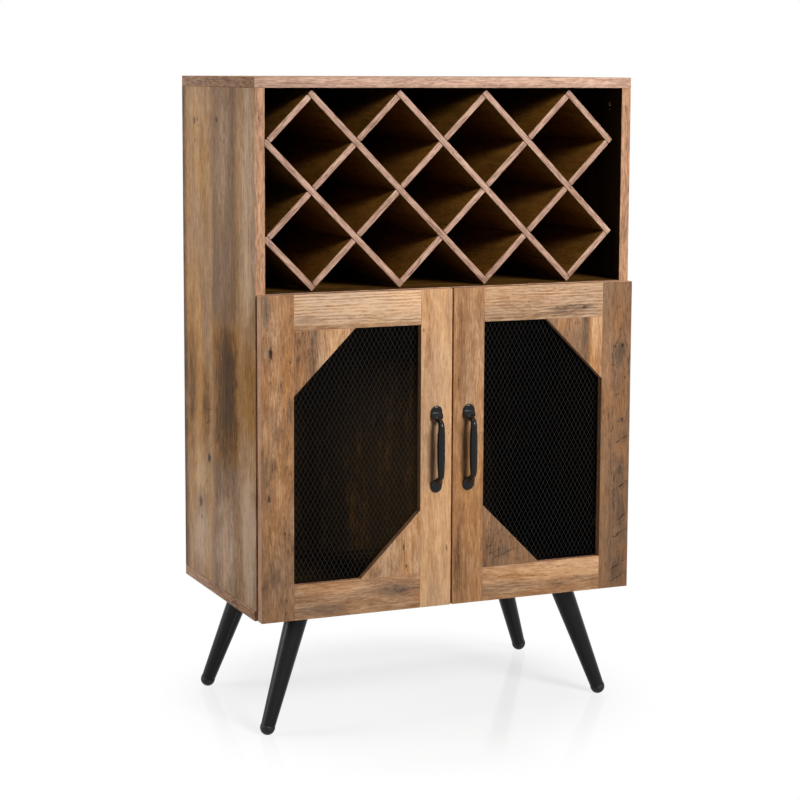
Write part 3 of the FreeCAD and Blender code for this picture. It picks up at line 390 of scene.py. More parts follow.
def finish_material(tree, tint, height, relief, roughness, specular, metallic=0.0):
    """End a material in a Principled shader, bumped by a height at the relief's strength and depth."""
    strength, depth = relief
    bump = add(tree, "ShaderNodeBump", {"Strength": strength, "Distance": depth, "Height": height})
    finish_tree(tree, "ShaderNodeOutputMaterial", add(tree, "ShaderNodeBsdfPrincipled", {
        "Base Color": tint, "Roughness": roughness, "Metallic": metallic, "Specular IOR Level": specular,
        "Normal": Signal(bump.outputs["Normal"])}))


def object_place(tree, turn=(0, 0, 0), shift=(0, 0, 0)):
    """A point's place on the object, plain, and turned and shifted."""
    place = Signal(tree.nodes.new("ShaderNodeTexCoord").outputs["Object"])
    mapping = add(tree, "ShaderNodeMapping", {"Vector": place, "Rotation": turn, "Location": shift})
    return place, Signal(mapping.outputs["Vector"])


def new_oak(name, kind, grain, seed):
    """A kind of oak: the material, a point's plain place on it, and the figure's parts for a grain and seed."""
    made, tree = new_material(name)
    place, vector = object_place(tree, GRAIN_TURN[grain], [seed * step for step in kind["steps"]])
    return made, place, use_group("oak_figure", Vector=vector)


def weighed(parts, level, weights):
    """A level changed by the figure's parts, each with its own weight."""
    return sum((weigh(parts[part], weight) for part, weight in weights.items() if weight), level)


def marked(parts, value, marks):
    """A value lowered by the figure's marks, each with its own weight."""
    for part, weight in marks.items():
        if weight:
            value -= parts[part] * weight
    return value


class Figure:
    """How one board's oak looks: its tone and warmth, the weights of the figure's parts, and its own marks.

    In millimetres on the board's face, a patch or strip is (across, up, reach across, reach up, tone, warmth), a
    knot (across, up, reach across, reach up, depth) and a line (across, up, and the same of its last end, width,
    bow, depth)."""

    def __init__(self, grain="Z", seed=0.0, level=0.6, warm=0.5, bands=0.10, streaks=0.14, fibres=0.18, clouds=0.16,
                 rake=0.0, flecks=0.20, cracks=0.35, scratches=0.0, face="XZ", patches=(), strips=(), softness=0.003,
                 knots=(), lines=()):
        self.grain = grain
        self.seed = seed
        self.level = level
        self.warm = warm
        self.weights = {"Bands": bands, "Streaks": streaks, "Fibres": fibres, "Clouds": clouds, "Rake": rake}
        self.marks = {"Flecks": flecks, "Cracks": cracks, "Scratches": scratches}
        self.face = face
        self.patches = [("soft_patch",) + patch for patch in patches] + [("strip",) + strip for strip in strips]
        self.softness = softness
        self.knots = knots
        self.lines = lines

    def on_face(self, across, up, depth):
        """A point or reach in millimetres on the board's face, as a vector in metres."""
        across, up = across / 1000, up / 1000
        return Vector((across, depth, up) if self.face == "XZ" else (depth, across, up))


def oak_board(name, figure, depth=0.0, tints=None):
    """Rustic oak laminate for one board, whose marks lie at a depth across its face."""
    oak = bpy.context.scene.cabinet_oak
    made, place, parts = new_oak(name, BOARD, figure.grain, figure.seed)

    def mask(shape, across, up, reach_across, reach_up, **more):
        return use_group(shape, Vector=place, Centre=figure.on_face(across, up, depth),
                         Reach=figure.on_face(reach_across, reach_up, 0.5), **more)["Mask"]

    value = weighed(parts, figure.level, figure.weights)
    warmth = weigh(parts["Warmth"], 0.5) + figure.warm
    streaky = parts["Streaks"] * 0.5 + 0.75
    for shape, *where, tone, warm in figure.patches:
        patch = mask(shape, *where, **({"Softness": figure.softness} if shape == "strip" else {}))
        value += patch * streaky * tone
        warmth += patch * warm
    value = marked(parts, value, figure.marks)
    for *where, deep in figure.knots:
        knot = mask("knot", *where)
        value -= knot * deep
        warmth -= knot * KNOT_GREYING
    normal = figure.on_face(1, 0, 0).cross(figure.on_face(0, 1, 0)).normalized()
    for across, up, last_across, last_up, width, bow, deep in figure.lines:
        start, end = figure.on_face(across, up, depth), figure.on_face(last_across, last_up, depth)
        half = (end - start) / 2
        half_width = width / 2 / 1000
        value -= use_group("crack_line", Vector=place, Centre=(start + end) / 2, Along=half / half.length_squared,
                           Across=half.cross(normal).normalized() / half_width, Bow=bow)["Mask"] * deep
    golden, weathered = (colour_ramp(value, [(0.0, oak.crack), (0.28, low), (0.60, mid), (1.0, high)])
                         for low, mid, high in (tints or (oak.deep, oak.middle, oak.pale),
                                                (oak.deep_grey, oak.middle_grey, oak.pale_grey)))
    finish_material(place.tree, blend_colours(clamped(warmth, 0.0), weathered, golden), parts["Height"],
                    BOARD["relief"], weigh(parts["Streaks"], 0.14) + BOARD["roughness"], BOARD["specular"])
    return made


def oak_trim(name, kind, grain, seed, level, stops):
    """Oak without marks of its own, in a ramp of colours."""
    made, place, parts = new_oak(name, kind, grain, seed)
    value = marked(parts, weighed(parts, level, kind["weights"]), kind["marks"])
    finish_material(place.tree, colour_ramp(value, stops), parts["Height"], kind["relief"], kind["roughness"],
                    kind["specular"])
    return made


def oak_banding(name, grain, seed, level, tints=None):
    """Edge banding: fine fibres along the edge, a little pinker than the boards unless two tints are given."""
    oak = bpy.context.scene.cabinet_oak
    deep, pale = tints or (oak.band_deep, oak.band_pale)
    return oak_trim(name, BANDING, grain, seed, level, [(0.0, deep), (1.0, pale)])


def oak_painted_shade(name, grain, seed, level):
    """Oak darkened for the faces that look inwards: painted shade, standing for the shade inside the cabinet and its
    rack.
    """
    oak = bpy.context.scene.cabinet_oak
    return oak_trim(name, INSIDE_PAINTED_SHADE, grain, seed, level,
                    [(0.0, oak.painted_shade_dark), (0.5, oak.painted_shade_brown), (1.0, oak.painted_shade_gold)])


def coated(name, tint, roughness, grit, metallic=0.0, specular=0.5):
    """Paint, lacquer, plating or plastic with a slightly uneven surface."""
    made, tree = new_material(name)
    parts = use_group("coat_texture", Vector=object_place(tree)[1], Grit=grit)
    worn, shift = (clamped(parts["Change"] * weight, middle) for weight, middle in ((0.35, roughness), (0.5, 0.5)))
    low, high = ([min(channel * share, 1.0) for channel in tint[:3]] + [1.0] for share in (0.8, 1.2))
    finish_material(tree, blend_colours(shift, low, high), parts["Height"], COAT_RELIEF, worn, specular, metallic)
    return made


def hardboard(name):
    """The bare rear of the hardboard back: brown pressed fibre with specks."""
    made, tree = new_material(name)
    vector = object_place(tree)[1]
    fibre = noise(vector, 260.0, 6.0, 0.75)
    value = 0.5 + weigh(fibre, 0.9) + weigh(noise(vector, 9.0, 3.0), 0.4)
    tint = colour_ramp(value, [(0.0, colour(92, 66, 44)), (0.55, colour(132, 98, 68)), (1.0, colour(168, 132, 96))])
    finish_material(tree, tint, fibre, HARDBOARD_RELIEF, 0.75, 0.25)
    return made


# The marks of the boards

SIDE_FIGURES = {
    "left_side_panel": Figure(
        "Z", 1.0, 0.70, 0.40, streaks=0.12, clouds=0.12, bands=0.06, face="YZ", softness=0.013,
        # The dark brown patches round the middle of this panel, about 400 to 600 mm up and near its middle from front
        # to back, are painted shade
        patches=[(-14, 484, 86, 175, -0.22, 0.60), (-30, 480, 50, 110, -0.10, 0.4), (-10, 250, 64, 120, 0.34, -0.15),
                 (-10, 810, 60, 110, 0.11, -0.1), (-110, 505, 46, 115, -0.18, 0.70),
                 (-112, 290, 46, 150, 0.33, -0.60), (-112, 800, 46, 170, 0.26, -0.45),
                 (-108, 650, 40, 80, 0.18, -0.1), (108, 490, 50, 160, -0.08, 0.95), (148, 470, 38, 150, -0.34, 0.95),
                 (100, 345, 46, 50, 0.14, 0.40), (72, 440, 32, 85, -0.32, 0.95), (100, 240, 64, 75, 0.26, -0.40),
                 (105, 820, 50, 120, -0.02, 0.35), (62, 372, 20, 22, -0.10, 0.0), (130, 640, 40, 70, -0.06, 0.30)],
        strips=[(-9, 550, 52, 400, -0.13, -0.36), (30, 760, 12, 170, -0.06, -0.10), (-46, 780, 11, 170, -0.05, -0.10),
                (178, 550, 13, 400, -0.42, 0.25), (-16, 474, 53, 100, -0.09, 0.55)],
        knots=[(62, 372, 10, 9, 0.45), (102, 300, 11, 11, 0.42), (98, 278, 6, 6, 0.25), (20, 868, 8, 7, 0.35),
               (121, 865, 7, 8, 0.40), (108, 866, 4, 5, 0.3), (-46, 488, 6, 8, 0.25), (103, 858, 3, 4, 0.25),
               (118, 836, 3, 5, 0.25)],
        lines=[(40, 448, 80, 440, 3, 0.6, 0.25), (52, 430, 86, 418, 3, -0.6, 0.22), (66, 470, 66, 385, 3, 1.0, 0.22),
               (78, 850, 100, 832, 3, 0.8, 0.25), (84, 812, 104, 800, 2.5, 0.5, 0.25),
               (76, 660, 82, 560, 2.5, 0.8, 0.22), (68, 350, 84, 322, 3, 0.6, 0.25),
               (80, 780, 80, 745, 2.5, 0.4, 0.2)]),
    "right_side_panel": Figure(
        "Z", 2.0, 0.62, 0.40, face="YZ", softness=0.013,
        patches=[(20, 620, 60, 260, -0.22, -0.2), (-70, 330, 40, 120, 0.12, 0.3)],
        strips=[(-40, 550, 38, 400, -0.12, -0.25)],
        knots=[(60, 560, 10, 12, 0.4), (-40, 760, 7, 9, 0.3)],
        lines=[(70, 590, 48, 530, 3, 1.0, 0.25), (-50, 790, -30, 735, 3, -0.8, 0.25)]),
}

DOOR_FIGURES = {
    "left_door_hinge_stile": Figure(
        "Z", 21.0, 0.57, 0.52, streaks=0.08, clouds=0.20, fibres=0.18, flecks=0.24,
        patches=[(-284, 612, 9, 30, -0.16, -0.6), (-268, 535, 13, 40, 0.05, 0.2), (-283, 575, 8, 16, -0.02, 0.3),
                 (-285, 500, 10, 50, 0.03, 0.4), (-248, 470, 6, 40, -0.10, -0.5), (-272, 392, 9, 20, -0.22, -0.1),
                 (-284, 430, 9, 40, 0.06, 0.4), (-270, 240, 22, 60, -0.06, -0.3)],
        strips=[(-251, 560, 8, 80, -0.04, 0.25)],
        knots=[(-276, 553, 4.2, 11, 0.60), (-279, 350, 2.5, 8, 0.35)],
        lines=[(-261, 640, -260, 470, 2.2, 0.4, 0.12), (-246, 640, -246, 520, 2.0, 0.3, 0.12),
               (-277, 570, -278, 535, 2.0, 0.8, 0.35), (-288, 540, -279, 505, 2.2, 0.6, 0.14),
               (-270, 480, -262, 380, 2.0, 0.8, 0.14), (-282, 330, -272, 250, 2.2, -0.8, 0.18)]),
    "left_door_meeting_stile": Figure(
        "Z", 23.0, 0.79, 0.84, streaks=0.12, clouds=0.08, fibres=0.14, flecks=0.12, cracks=0.20,
        patches=[(-38, 545, 10, 40, -0.10, 0.0), (-8, 600, 7, 60, -0.08, -0.5), (-10, 240, 8, 40, -0.10, -0.2),
                 (-28, 290, 20, 70, 0.05, 0.1)],
        knots=[(-8, 258, 2, 6, 0.35), (-46, 575, 2, 4, 0.3)],
        lines=[(-38, 610, -36, 520, 2.0, 0.6, 0.14), (-12, 400, -14, 300, 2.0, -0.6, 0.12)]),
    "left_door_top_rail": Figure(
        "X", 25.0, 0.90, 0.44, rake=0.34, bands=0.05, streaks=0.10, clouds=0.10, fibres=0.18, flecks=0.16, cracks=0.2,
        patches=[(-150, 596, 95, 9, -0.12, 0.0), (-225, 597, 26, 8, -0.14, -0.1), (-190, 620, 60, 10, 0.05, -0.1)],
        strips=[(-146, 584.5, 100, 3.5, -0.22, 0.25)]),
    "left_door_bottom_rail": Figure(
        "X", 27.0, 0.62, 0.52, bands=0.06, streaks=0.14, clouds=0.14, fibres=0.18, rake=0.06,
        patches=[(-90, 205, 40, 12, -0.14, -0.5), (-200, 185, 50, 10, -0.10, -0.4), (-160, 212, 60, 8, 0.08, 0.1)]),
    "left_door_upper_gusset": Figure(
        "Z", 29.0, 0.70, 0.62, clouds=0.14, fibres=0.22, flecks=0.28, bands=0.05,
        strips=[(-225, 540, 17, 70, -0.20, -0.12), (-212, 560, 4, 60, -0.05, -0.3)],
        patches=[(-190, 560, 14, 60, 0.03, 0.1), (-231, 520, 8, 40, 0.05, 0.4)],
        lines=[(-218, 582, -212, 530, 2.6, 0.9, 0.20), (-222, 560, -216, 528, 2.2, 0.7, 0.16),
               (-208.5, 582, -208.5, 520, 1.8, 0.0, 0.18), (-236, 580, -238, 500, 2.0, 0.5, 0.14),
               (-227, 575, -226, 530, 2.0, -0.6, 0.12)]),
    "left_door_lower_gusset": Figure(
        "Z", 31.0, 0.69, 0.74, clouds=0.16, fibres=0.16,
        patches=[(-120, 230, 20, 10, -0.10, -0.3), (-60, 300, 10, 30, 0.04, 0.2)],
        knots=[(-75, 265, 1.6, 8, 0.4), (-71, 236, 1.8, 5, 0.4)],
        lines=[(-75, 280, -74, 250, 2.0, 0.4, 0.25), (-95, 262, -94, 226, 2.0, -0.5, 0.16)]),
    "right_door_hinge_stile": Figure(
        "Z", 33.0, 0.42, 0.42, streaks=0.08, clouds=0.08, fibres=0.15, flecks=0.17, bands=0.06, scratches=0.05,
        patches=[(270, 526, 15, 26, -0.07, -0.35), (276, 440, 12, 50, 0.02, 0.4), (272, 203, 20, 26, -0.10, -0.2),
                 (272, 580, 12, 40, 0.02, 0.35), (284, 480, 6, 60, 0.04, 0.5), (276, 380, 12, 22, 0.10, 0.45),
                 (272, 300, 16, 40, -0.04, -0.2), (266, 555, 7, 30, 0.06, 0.3)],
        strips=[(249, 400, 8, 260, 0.08, -0.05)],
        knots=[(276, 538, 3, 4, 0.30), (263, 537, 3.5, 3, 0.22), (277, 427, 4, 4, 0.22), (281, 490, 1.6, 3, 0.3),
               (275, 352, 7, 8, 0.12)],
        lines=[(261, 536, 273, 549, 3.2, 0.3, 0.34), (261, 538, 259, 505, 2.6, 0.3, 0.30),
               (258, 509, 270, 512, 2.6, 0.5, 0.28), (262, 592, 272, 598, 2.4, -2.2, 0.20),
               (273, 580, 272, 545, 2.2, 0.5, 0.20), (279, 560, 285, 525, 2.2, -0.8, 0.18),
               (258, 520, 254, 400, 2.4, 0.6, 0.16), (259, 462, 282, 470, 2.2, -0.6, 0.14),
               (268, 424, 283, 422, 2.6, 2.6, 0.26), (259, 389, 292, 404, 2.6, 0.5, 0.24),
               (268, 345, 284, 345, 2.6, 4.6, 0.24), (252, 342, 263, 347, 2.4, 0.3, 0.16),
               (257, 317, 292, 336, 2.8, 0.8, 0.34), (264, 352, 265, 268, 2.4, 0.9, 0.24),
               (262, 262, 292, 280, 2.6, 0.7, 0.32), (263, 249, 292, 264, 2.8, -0.7, 0.34),
               (268, 272, 292, 290, 2.4, 0.6, 0.28), (260, 200, 290, 216, 2.8, 0.7, 0.28),
               (258, 181, 288, 197, 2.8, -0.6, 0.28), (268, 225, 290, 232, 2.4, 0.4, 0.22)]),
    "right_door_meeting_stile": Figure(
        "Z", 35.0, 0.59, 0.76, streaks=0.15, clouds=0.12, fibres=0.16, flecks=0.14, cracks=0.30,
        patches=[(8, 240, 8, 70, -0.20, -0.1), (22, 230, 4, 70, -0.10, 0.0), (12, 560, 8, 60, -0.10, 0.1),
                 (30, 300, 14, 60, 0.06, 0.2)],
        lines=[(14, 620, 12, 540, 2.0, 0.6, 0.16), (36, 560, 34, 480, 2.0, 0.6, 0.12),
               (10, 300, 14, 200, 2.4, -0.6, 0.2)]),
    "right_door_top_rail": Figure(
        "X", 37.0, 0.76, 0.46, rake=0.20, bands=0.04, streaks=0.07, clouds=0.05, fibres=0.20, flecks=0.22,
        patches=[(188, 597, 52, 8, -0.24, -0.5), (215, 598, 22, 7, -0.10, -0.3), (160, 589, 70, 5, -0.20, -0.1),
                 (95, 588, 60, 5, -0.10, 0.0), (110, 605, 50, 10, -0.04, -0.2), (235, 592, 8, 8, -0.06, 0.3)],
        knots=[(211, 597, 5, 3.5, 0.26)],
        lines=[(150, 598, 210, 601, 2.2, 1.0, 0.22), (160, 590, 215, 594, 2.2, -1.2, 0.2),
               (205, 602, 218, 598, 2.2, -1.6, 0.26)]),
    "right_door_bottom_rail": Figure(
        "X", 39.0, 0.75, 0.70, bands=0.05, streaks=0.14, clouds=0.10, fibres=0.18, rake=0.06, cracks=0.25,
        strips=[(145, 184, 130, 12, -0.12, -0.30)],
        patches=[(90, 200, 40, 6, -0.08, -0.2), (170, 187, 24, 6, -0.10, -0.3)]),
    "right_door_upper_gusset": Figure(
        "Z", 41.0, 0.55, 0.46, clouds=0.10, fibres=0.18, bands=0.06,
        strips=[(232, 540, 9.5, 80, 0.20, 0.45)],
        patches=[(213, 560, 9, 60, -0.16, -0.4), (175, 575, 14, 14, 0.02, 0.4)],
        lines=[(203, 584, 205, 545, 2.4, 0.5, 0.24), (197, 584, 199, 550, 2.0, -0.6, 0.16),
               (187, 584, 188, 556, 2.0, 0.0, 0.14), (230, 572, 231, 563, 2.2, 0.0, 0.3)]),
    "right_door_lower_gusset": Figure(
        "Z", 43.0, 0.47, 0.34, bands=0.05, streaks=0.10, clouds=0.10, fibres=0.18, scratches=0.08,
        patches=[(58, 290, 8, 40, 0.10, 0.1), (80, 245, 22, 14, -0.10, -0.2)],
        lines=[(54, 250, 100, 268, 2.6, 0.8, 0.28), (54, 264, 84, 278, 2.4, 0.6, 0.24),
               (62, 234, 116, 252, 2.4, -0.7, 0.26), (54, 240, 80, 250, 2.4, 0.5, 0.20)]),
}


# Pieces made from the frame's nodes

def merged_copy(node):
    """A clean mesh of a node, with doubled corners joined."""
    mesh = bmesh.new()
    mesh.from_mesh(frame["nodes"][node].data)
    bmesh.ops.remove_doubles(mesh, verts=mesh.verts, dist=1e-6)
    return mesh


def ease_edges(mesh, width):
    """Round every long sharp outer edge."""
    bmesh.ops.dissolve_limit(mesh, angle_limit=math.radians(0.5), verts=mesh.verts, edges=mesh.edges,
                             use_dissolve_boundaries=False, delimit=set())
    mesh.normal_update()
    shortest, sharpest = 0.004, math.radians(30)
    sharp = [edge for edge in mesh.edges if len(edge.link_faces) == 2 and edge.calc_length() > shortest
             and edge.calc_face_angle_signed() > sharpest]
    bmesh.ops.bevel(mesh, geom=sharp, offset=width, offset_type="OFFSET", affect="EDGES", segments=2, profile=0.5,
                    material=-1, clamp_overlap=True)


def finish_piece(mesh, name, node, materials, pick=None, smooth=30.0):
    """Turn a mesh into a piece that stands for its node and rides on the node's body."""
    data = bpy.data.meshes.new(name)
    for material in materials:
        data.materials.append(material)
    for face in mesh.faces:
        face.smooth = True
        face.material_index = int(pick(face)) if pick else 0
    mesh.to_mesh(data)
    mesh.free()
    data.set_sharp_from_angle(angle=math.radians(smooth))
    piece = bpy.data.objects.new(name, data)
    bpy.context.scene.collection.objects.link(piece)
    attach(piece, frame["nodes"][node]["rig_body"])
    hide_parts(node)
    return piece


def board_piece(node, materials, pick, ease=None):
    mesh = merged_copy(node)
    ease_edges(mesh, ease or bpy.context.scene.cabinet_oak.ease)
    return finish_piece(mesh, f"{node}_board", node, materials, pick)


def smooth_piece(node, material):
    return finish_piece(merged_copy(node), f"{node}_piece", node, [material], smooth=35.0)


def paint(node, material):
    """Give a node that keeps its own mesh a better material."""
    materials = frame["nodes"][node].data.materials
    materials.clear()
    materials.append(material)


def front_or_rear(face):
    return abs(face.normal.y) > SQUARE_ON


# Operators

class CABINET_OT_finishes(bpy.types.Operator):
    """Build the shared effects"""
    bl_idname = "cabinet.finishes"
    bl_label = "Shared finishes"

    def execute(self, context):
        build_oak_figure()
        build_mark("soft_patch", 38.0, 0.9, 0.15, 1.0)
        build_mark("knot", 210.0, 1.3, 0.3, 1.0)
        build_strip()
        build_crack_line()
        build_coat_texture()
        return {"FINISHED"}


class CABINET_OT_carcass(bpy.types.Operator):
    """Dress the carcass panels, the shelf and the back"""
    bl_idname = "cabinet.carcass"
    bl_label = "Carcass"

    def execute(self, context):
        oak = context.scene.cabinet_oak
        left = oak_board("oak_left_side", SIDE_FIGURES["left_side_panel"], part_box("left_side_panel")[0].x,
                         (oak.side_deep, oak.side_middle, oak.side_pale))
        right = oak_board("oak_right_side", SIDE_FIGURES["right_side_panel"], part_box("right_side_panel")[1].x)
        brown = (oak.edge_deep, oak.edge_pale)
        # The inward faces, the back and the shelf take darkened oak: painted shade for the inside of the cabinet
        inside = oak_painted_shade("oak_inside_upright", "Z", 9.0, 0.42)
        inside_back = oak_painted_shade("oak_inside_back", "Z", 10.0, 0.47)
        inside_level = oak_painted_shade("oak_inside_level", "X", 6.0, 0.46)
        band_upright = oak_banding("oak_band_upright", "Z", 3.0, 0.56, brown)
        band_level = oak_banding("oak_band_level", "X", 5.0, 0.57)
        band_end = oak_banding("oak_band_end", "Y", 7.0, 0.32, brown)
        band_low_end = oak_banding("oak_band_low_end", "Y", 8.0, 0.41, brown)
        top = oak_board("oak_top", Figure("X", 4.0, 0.60, 0.45, bands=0.25))

        def pick(inward):
            """Face, front band, end band, or the darkened oak, painted shade, on the side that a panel turns inward.
            """
            def choose(face):
                if front_or_rear(face):
                    return 1
                if face.normal.dot(inward) > SQUARE_ON:
                    return 3
                return 2 if abs(face.normal.x) > SQUARE_ON and not inward.x else 0
            return choose

        for node, outer, band, end, inner, inward in (
                ("left_side_panel", left, band_upright, band_end, inside, (1, 0, 0)),
                ("right_side_panel", right, band_upright, band_end, inside, (-1, 0, 0)),
                ("top_panel", top, band_level, band_end, inside_level, (0, 0, -1)),
                ("bottom_panel", top, band_level, band_low_end, inside_level, (0, 0, 1))):
            board_piece(node, [outer, band, end, inner], pick(Vector(inward)))
        board_piece("middle_shelf", [oak_painted_shade("oak_inside_shelf", "X", 6.0, 0.62), band_level], front_or_rear)
        board_piece("back_panel", [inside_back, hardboard("hardboard_rear")], lambda face: face.normal.y > 0.5,
                    0.0003)
        return {"FINISHED"}


class CABINET_OT_rack(bpy.types.Operator):
    """Dress the bottle rack's boards"""
    bl_idname = "cabinet.rack"
    bl_label = "Bottle rack"

    def execute(self, context):
        oak = context.scene.cabinet_oak
        # The rounded front ends of the rack boards take dark oak: a darker core where the rounding cuts in, and
        # painted shade in the grooves between the boards
        joint = oak_banding("oak_joint_core_and_painted_shade", "Y", 12.0, 0.12, (oak.painted_shade_dark, oak.edge_deep))
        for kind, grain, along in (("falling", "FALLING", Vector((1, 0, -1)).normalized()),
                                   ("rising", "RISING", Vector((1, 0, 1)).normalized())):
            banding = oak_banding(f"oak_band_{kind}", grain, 11.0 if kind == "falling" else 13.0, 0.45)
            # The rack boards' faces take darkened oak: painted shade in the rack's cells
            faces = [oak_painted_shade(f"oak_rack_{kind}_{number}", "Y", 14.0 + number, 0.77) for number in range(3)]

            def pick(face):
                if front_or_rear(face):
                    return 1
                # Rounded front ends take the dark joint oak, which is partly painted shade
                return 2 if face.normal.y < -SLANTED and abs(face.normal.dot(along)) > SLANTED else 0

            for number in range(1, 7):
                board_piece(f"rack_{kind}_board_{number}", [faces[number % 3], banding, joint], pick, 0.0011)
        return {"FINISHED"}


class CABINET_OT_doors(bpy.types.Operator):
    """Dress the door frames"""
    bl_idname = "cabinet.doors"
    bl_label = "Door frames"

    def execute(self, context):
        oak = context.scene.cabinet_oak
        brown = (oak.edge_deep, oak.edge_pale)
        upright = oak_banding("oak_door_edge_upright", "Z", 45.0, 0.42, brown)
        level = oak_banding("oak_door_edge_level", "X", 47.0, 0.42, brown)
        pale = oak_banding("oak_door_pale_edge", "Z", 48.0, 0.90, brown)
        # The outer and worn edges are made lighter: partly wear, partly a painted highlight along the door's outer
        # edge and its rounded front corners
        outer = oak_banding("oak_door_outer_worn_and_highlit_edge", "Z", 46.0, 0.80, brown)
        worn = oak_banding("oak_worn_and_highlit_edge", "Z", 49.0, 0.85, brown)

        def pick(outward):
            """Face, edge, a front corner made lighter for wear and a painted highlight, or the outer edge where a
            hinge stile ends the door, made lighter in the same way.
            """
            def choose(face):
                if front_or_rear(face):
                    return 0
                if face.normal.y < -SLANTED:
                    return 2
                return 3 if face.normal.x * outward > SQUARE_ON else 1
            return choose

        for node, figure in DOOR_FIGURES.items():
            face = oak_board(f"oak_{node}", figure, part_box(node)[0].y)
            outward = {"left_door_hinge_stile": -1, "right_door_hinge_stile": 1}.get(node, 0)
            edge = upright if figure.grain == "Z" else level
            if node in ("left_door_meeting_stile", "right_door_hinge_stile", "right_door_upper_gusset"):
                edge = pale
            board_piece(node, [face, edge, worn, outer], pick(outward))
        return {"FINISHED"}


class CABINET_OT_mesh(bpy.types.Operator):
    """Make the expanded metal mesh of both doors"""
    bl_idname = "cabinet.mesh"
    bl_label = "Metal mesh"

    # Length of a strand over the distance between its joints
    overlap = 1.04

    def execute(self, context):
        metal = context.scene.cabinet_metal
        coat = coated("mesh_black_coat", metal.black, 0.33, 900.0, specular=0.36)
        for side in SIDES:
            self.build(f"{side}_door_mesh", metal, coat)
        return {"FINISHED"}

    def build(self, node, metal, coat):
        low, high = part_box(node)
        step_x = (high.x - low.x) / metal.cells_across
        step_z = (high.z - low.z) / metal.cells_up
        depth = (low.y + high.y) / 2
        strand = math.hypot(step_x, step_z) / 2 * self.overlap
        mesh = bmesh.new()
        for lean in (-1, 1):
            for half in (-1, 1):
                made = bmesh.ops.create_cube(mesh, size=1.0)["verts"]
                bmesh.ops.scale(mesh, verts=made, vec=(metal.strand_width, metal.strand_thickness, strand))
                slope = math.atan2(step_x, step_z) * lean
                bmesh.ops.rotate(mesh, verts=made, matrix=Matrix.Rotation(slope, 3, "Y"))
                centre = Vector((low.x + step_x / 2 + half * lean * step_x / 4, depth,
                                 low.z + step_z / 2 + half * step_z / 4))
                bmesh.ops.translate(mesh, verts=made, vec=centre)
        for count, along, up in ((metal.cells_across, step_x, 0), (metal.cells_up, 0, step_z)):
            pattern = [*mesh.verts, *mesh.edges, *mesh.faces]
            for number in range(1, count):
                copy = bmesh.ops.duplicate(mesh, geom=pattern)["geom"]
                bmesh.ops.translate(mesh, verts=[item for item in copy if isinstance(item, bmesh.types.BMVert)],
                                    vec=(number * along, 0, number * up))
        finish_piece(mesh, f"{node}_sheet", node, [coat], smooth=20.0)


class CABINET_OT_handles(bpy.types.Operator):
    """Forge the handles: a pad at each end, folded out through a neck into a thick grip"""
    bl_idname = "cabinet.handles"
    bl_label = "Handles"

    # Distance from the tip, half width, half thickness and distance of the middle from the door, in millimetres
    stations = ((0.0, 1.6, 0.5, 1.0), (0.3, 2.9, 1.0, 1.1), (1.2, 4.8, 1.4, 1.4), (2.8, 6.7, 1.5, 1.5),
                (5.0, 8.2, 1.5, 1.5), (7.5, 8.9, 1.5, 1.5), (9.8, 9.0, 1.5, 1.5), (10.8, 9.0, 1.6, 1.8),
                (12.5, 9.0, 2.0, 3.0), (15.0, 8.9, 2.4, 4.8), (16.8, 8.0, 2.7, 6.3), (18.0, 6.4, 3.0, 7.6),
                (19.2, 5.0, 3.2, 9.4), (20.4, 4.4, 3.4, 11.8), (21.8, 4.2, 3.6, 14.6), (23.8, 4.3, 4.0, 16.8),
                (26.5, 4.5, 4.4, 17.8), (31.0, 4.8, 4.8, 17.9), (40.0, 5.4, 5.3, 17.5), (50.0, 5.8, 5.6, 17.3))

    def execute(self, context):
        coat = coated("handle_black_coat", context.scene.cabinet_metal.lacquer, 0.19, 700.0, specular=0.26)
        for side in SIDES:
            self.forge(f"{side}_handle", coat)
        return {"FINISHED"}

    def forge(self, node, coat):
        low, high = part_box(node)
        middle = (low + high) / 2
        reach = [(high.z - along / 1000, wide, thick, away) for along, wide, thick, away in self.stations]
        reach += [(low.z + along / 1000, wide, thick, away) for along, wide, thick, away in reversed(self.stations)]
        path = [Vector((middle.x, high.y - away / 1000, height)) for height, wide, thick, away in reach]
        mesh = bmesh.new()
        rings = []
        for index, (height, wide, thick, away) in enumerate(reach):
            along = path[min(index + 1, len(path) - 1)] - path[max(index - 1, 0)]
            ring = bmesh.ops.create_circle(mesh, segments=24, radius=1.0)["verts"]
            bmesh.ops.scale(mesh, verts=ring, vec=(wide / 1000, thick / 1000, 1.0))
            bmesh.ops.rotate(mesh, verts=ring, matrix=Matrix.Rotation(math.atan2(along.y, -along.z), 3, "X"))
            bmesh.ops.translate(mesh, verts=ring, vec=path[index])
            rings.append(list({edge for vert in ring for edge in vert.link_edges}))
        for first, second in zip(rings, rings[1:]):
            bmesh.ops.bridge_loops(mesh, edges=first + second)
        for ring in (rings[0], rings[-1]):
            bmesh.ops.edgenet_fill(mesh, edges=ring)
        bmesh.ops.recalc_face_normals(mesh, faces=mesh.faces)
        finish_piece(mesh, f"{node}_forging", node, [coat], smooth=50.0)


class CABINET_OT_legs(bpy.types.Operator):
    """Dress the legs, foot caps and leg brackets"""
    bl_idname = "cabinet.legs"
    bl_label = "Legs"

    def execute(self, context):
        metal = context.scene.cabinet_metal
        lacquer = coated("leg_black_lacquer", metal.lacquer, 0.34, 420.0, specular=0.2)
        plastic = coated("foot_black_plastic", metal.lacquer, 0.5, 900.0, specular=0.3)
        for end in ("front", "rear"):
            for side in SIDES:
                smooth_piece(f"{end}_{side}_leg", lacquer)
                smooth_piece(f"{end}_{side}_foot_cap", plastic)
        paint("leg_brackets", coated("bracket_black_coat", metal.black, 0.45, 500.0))
        return {"FINISHED"}


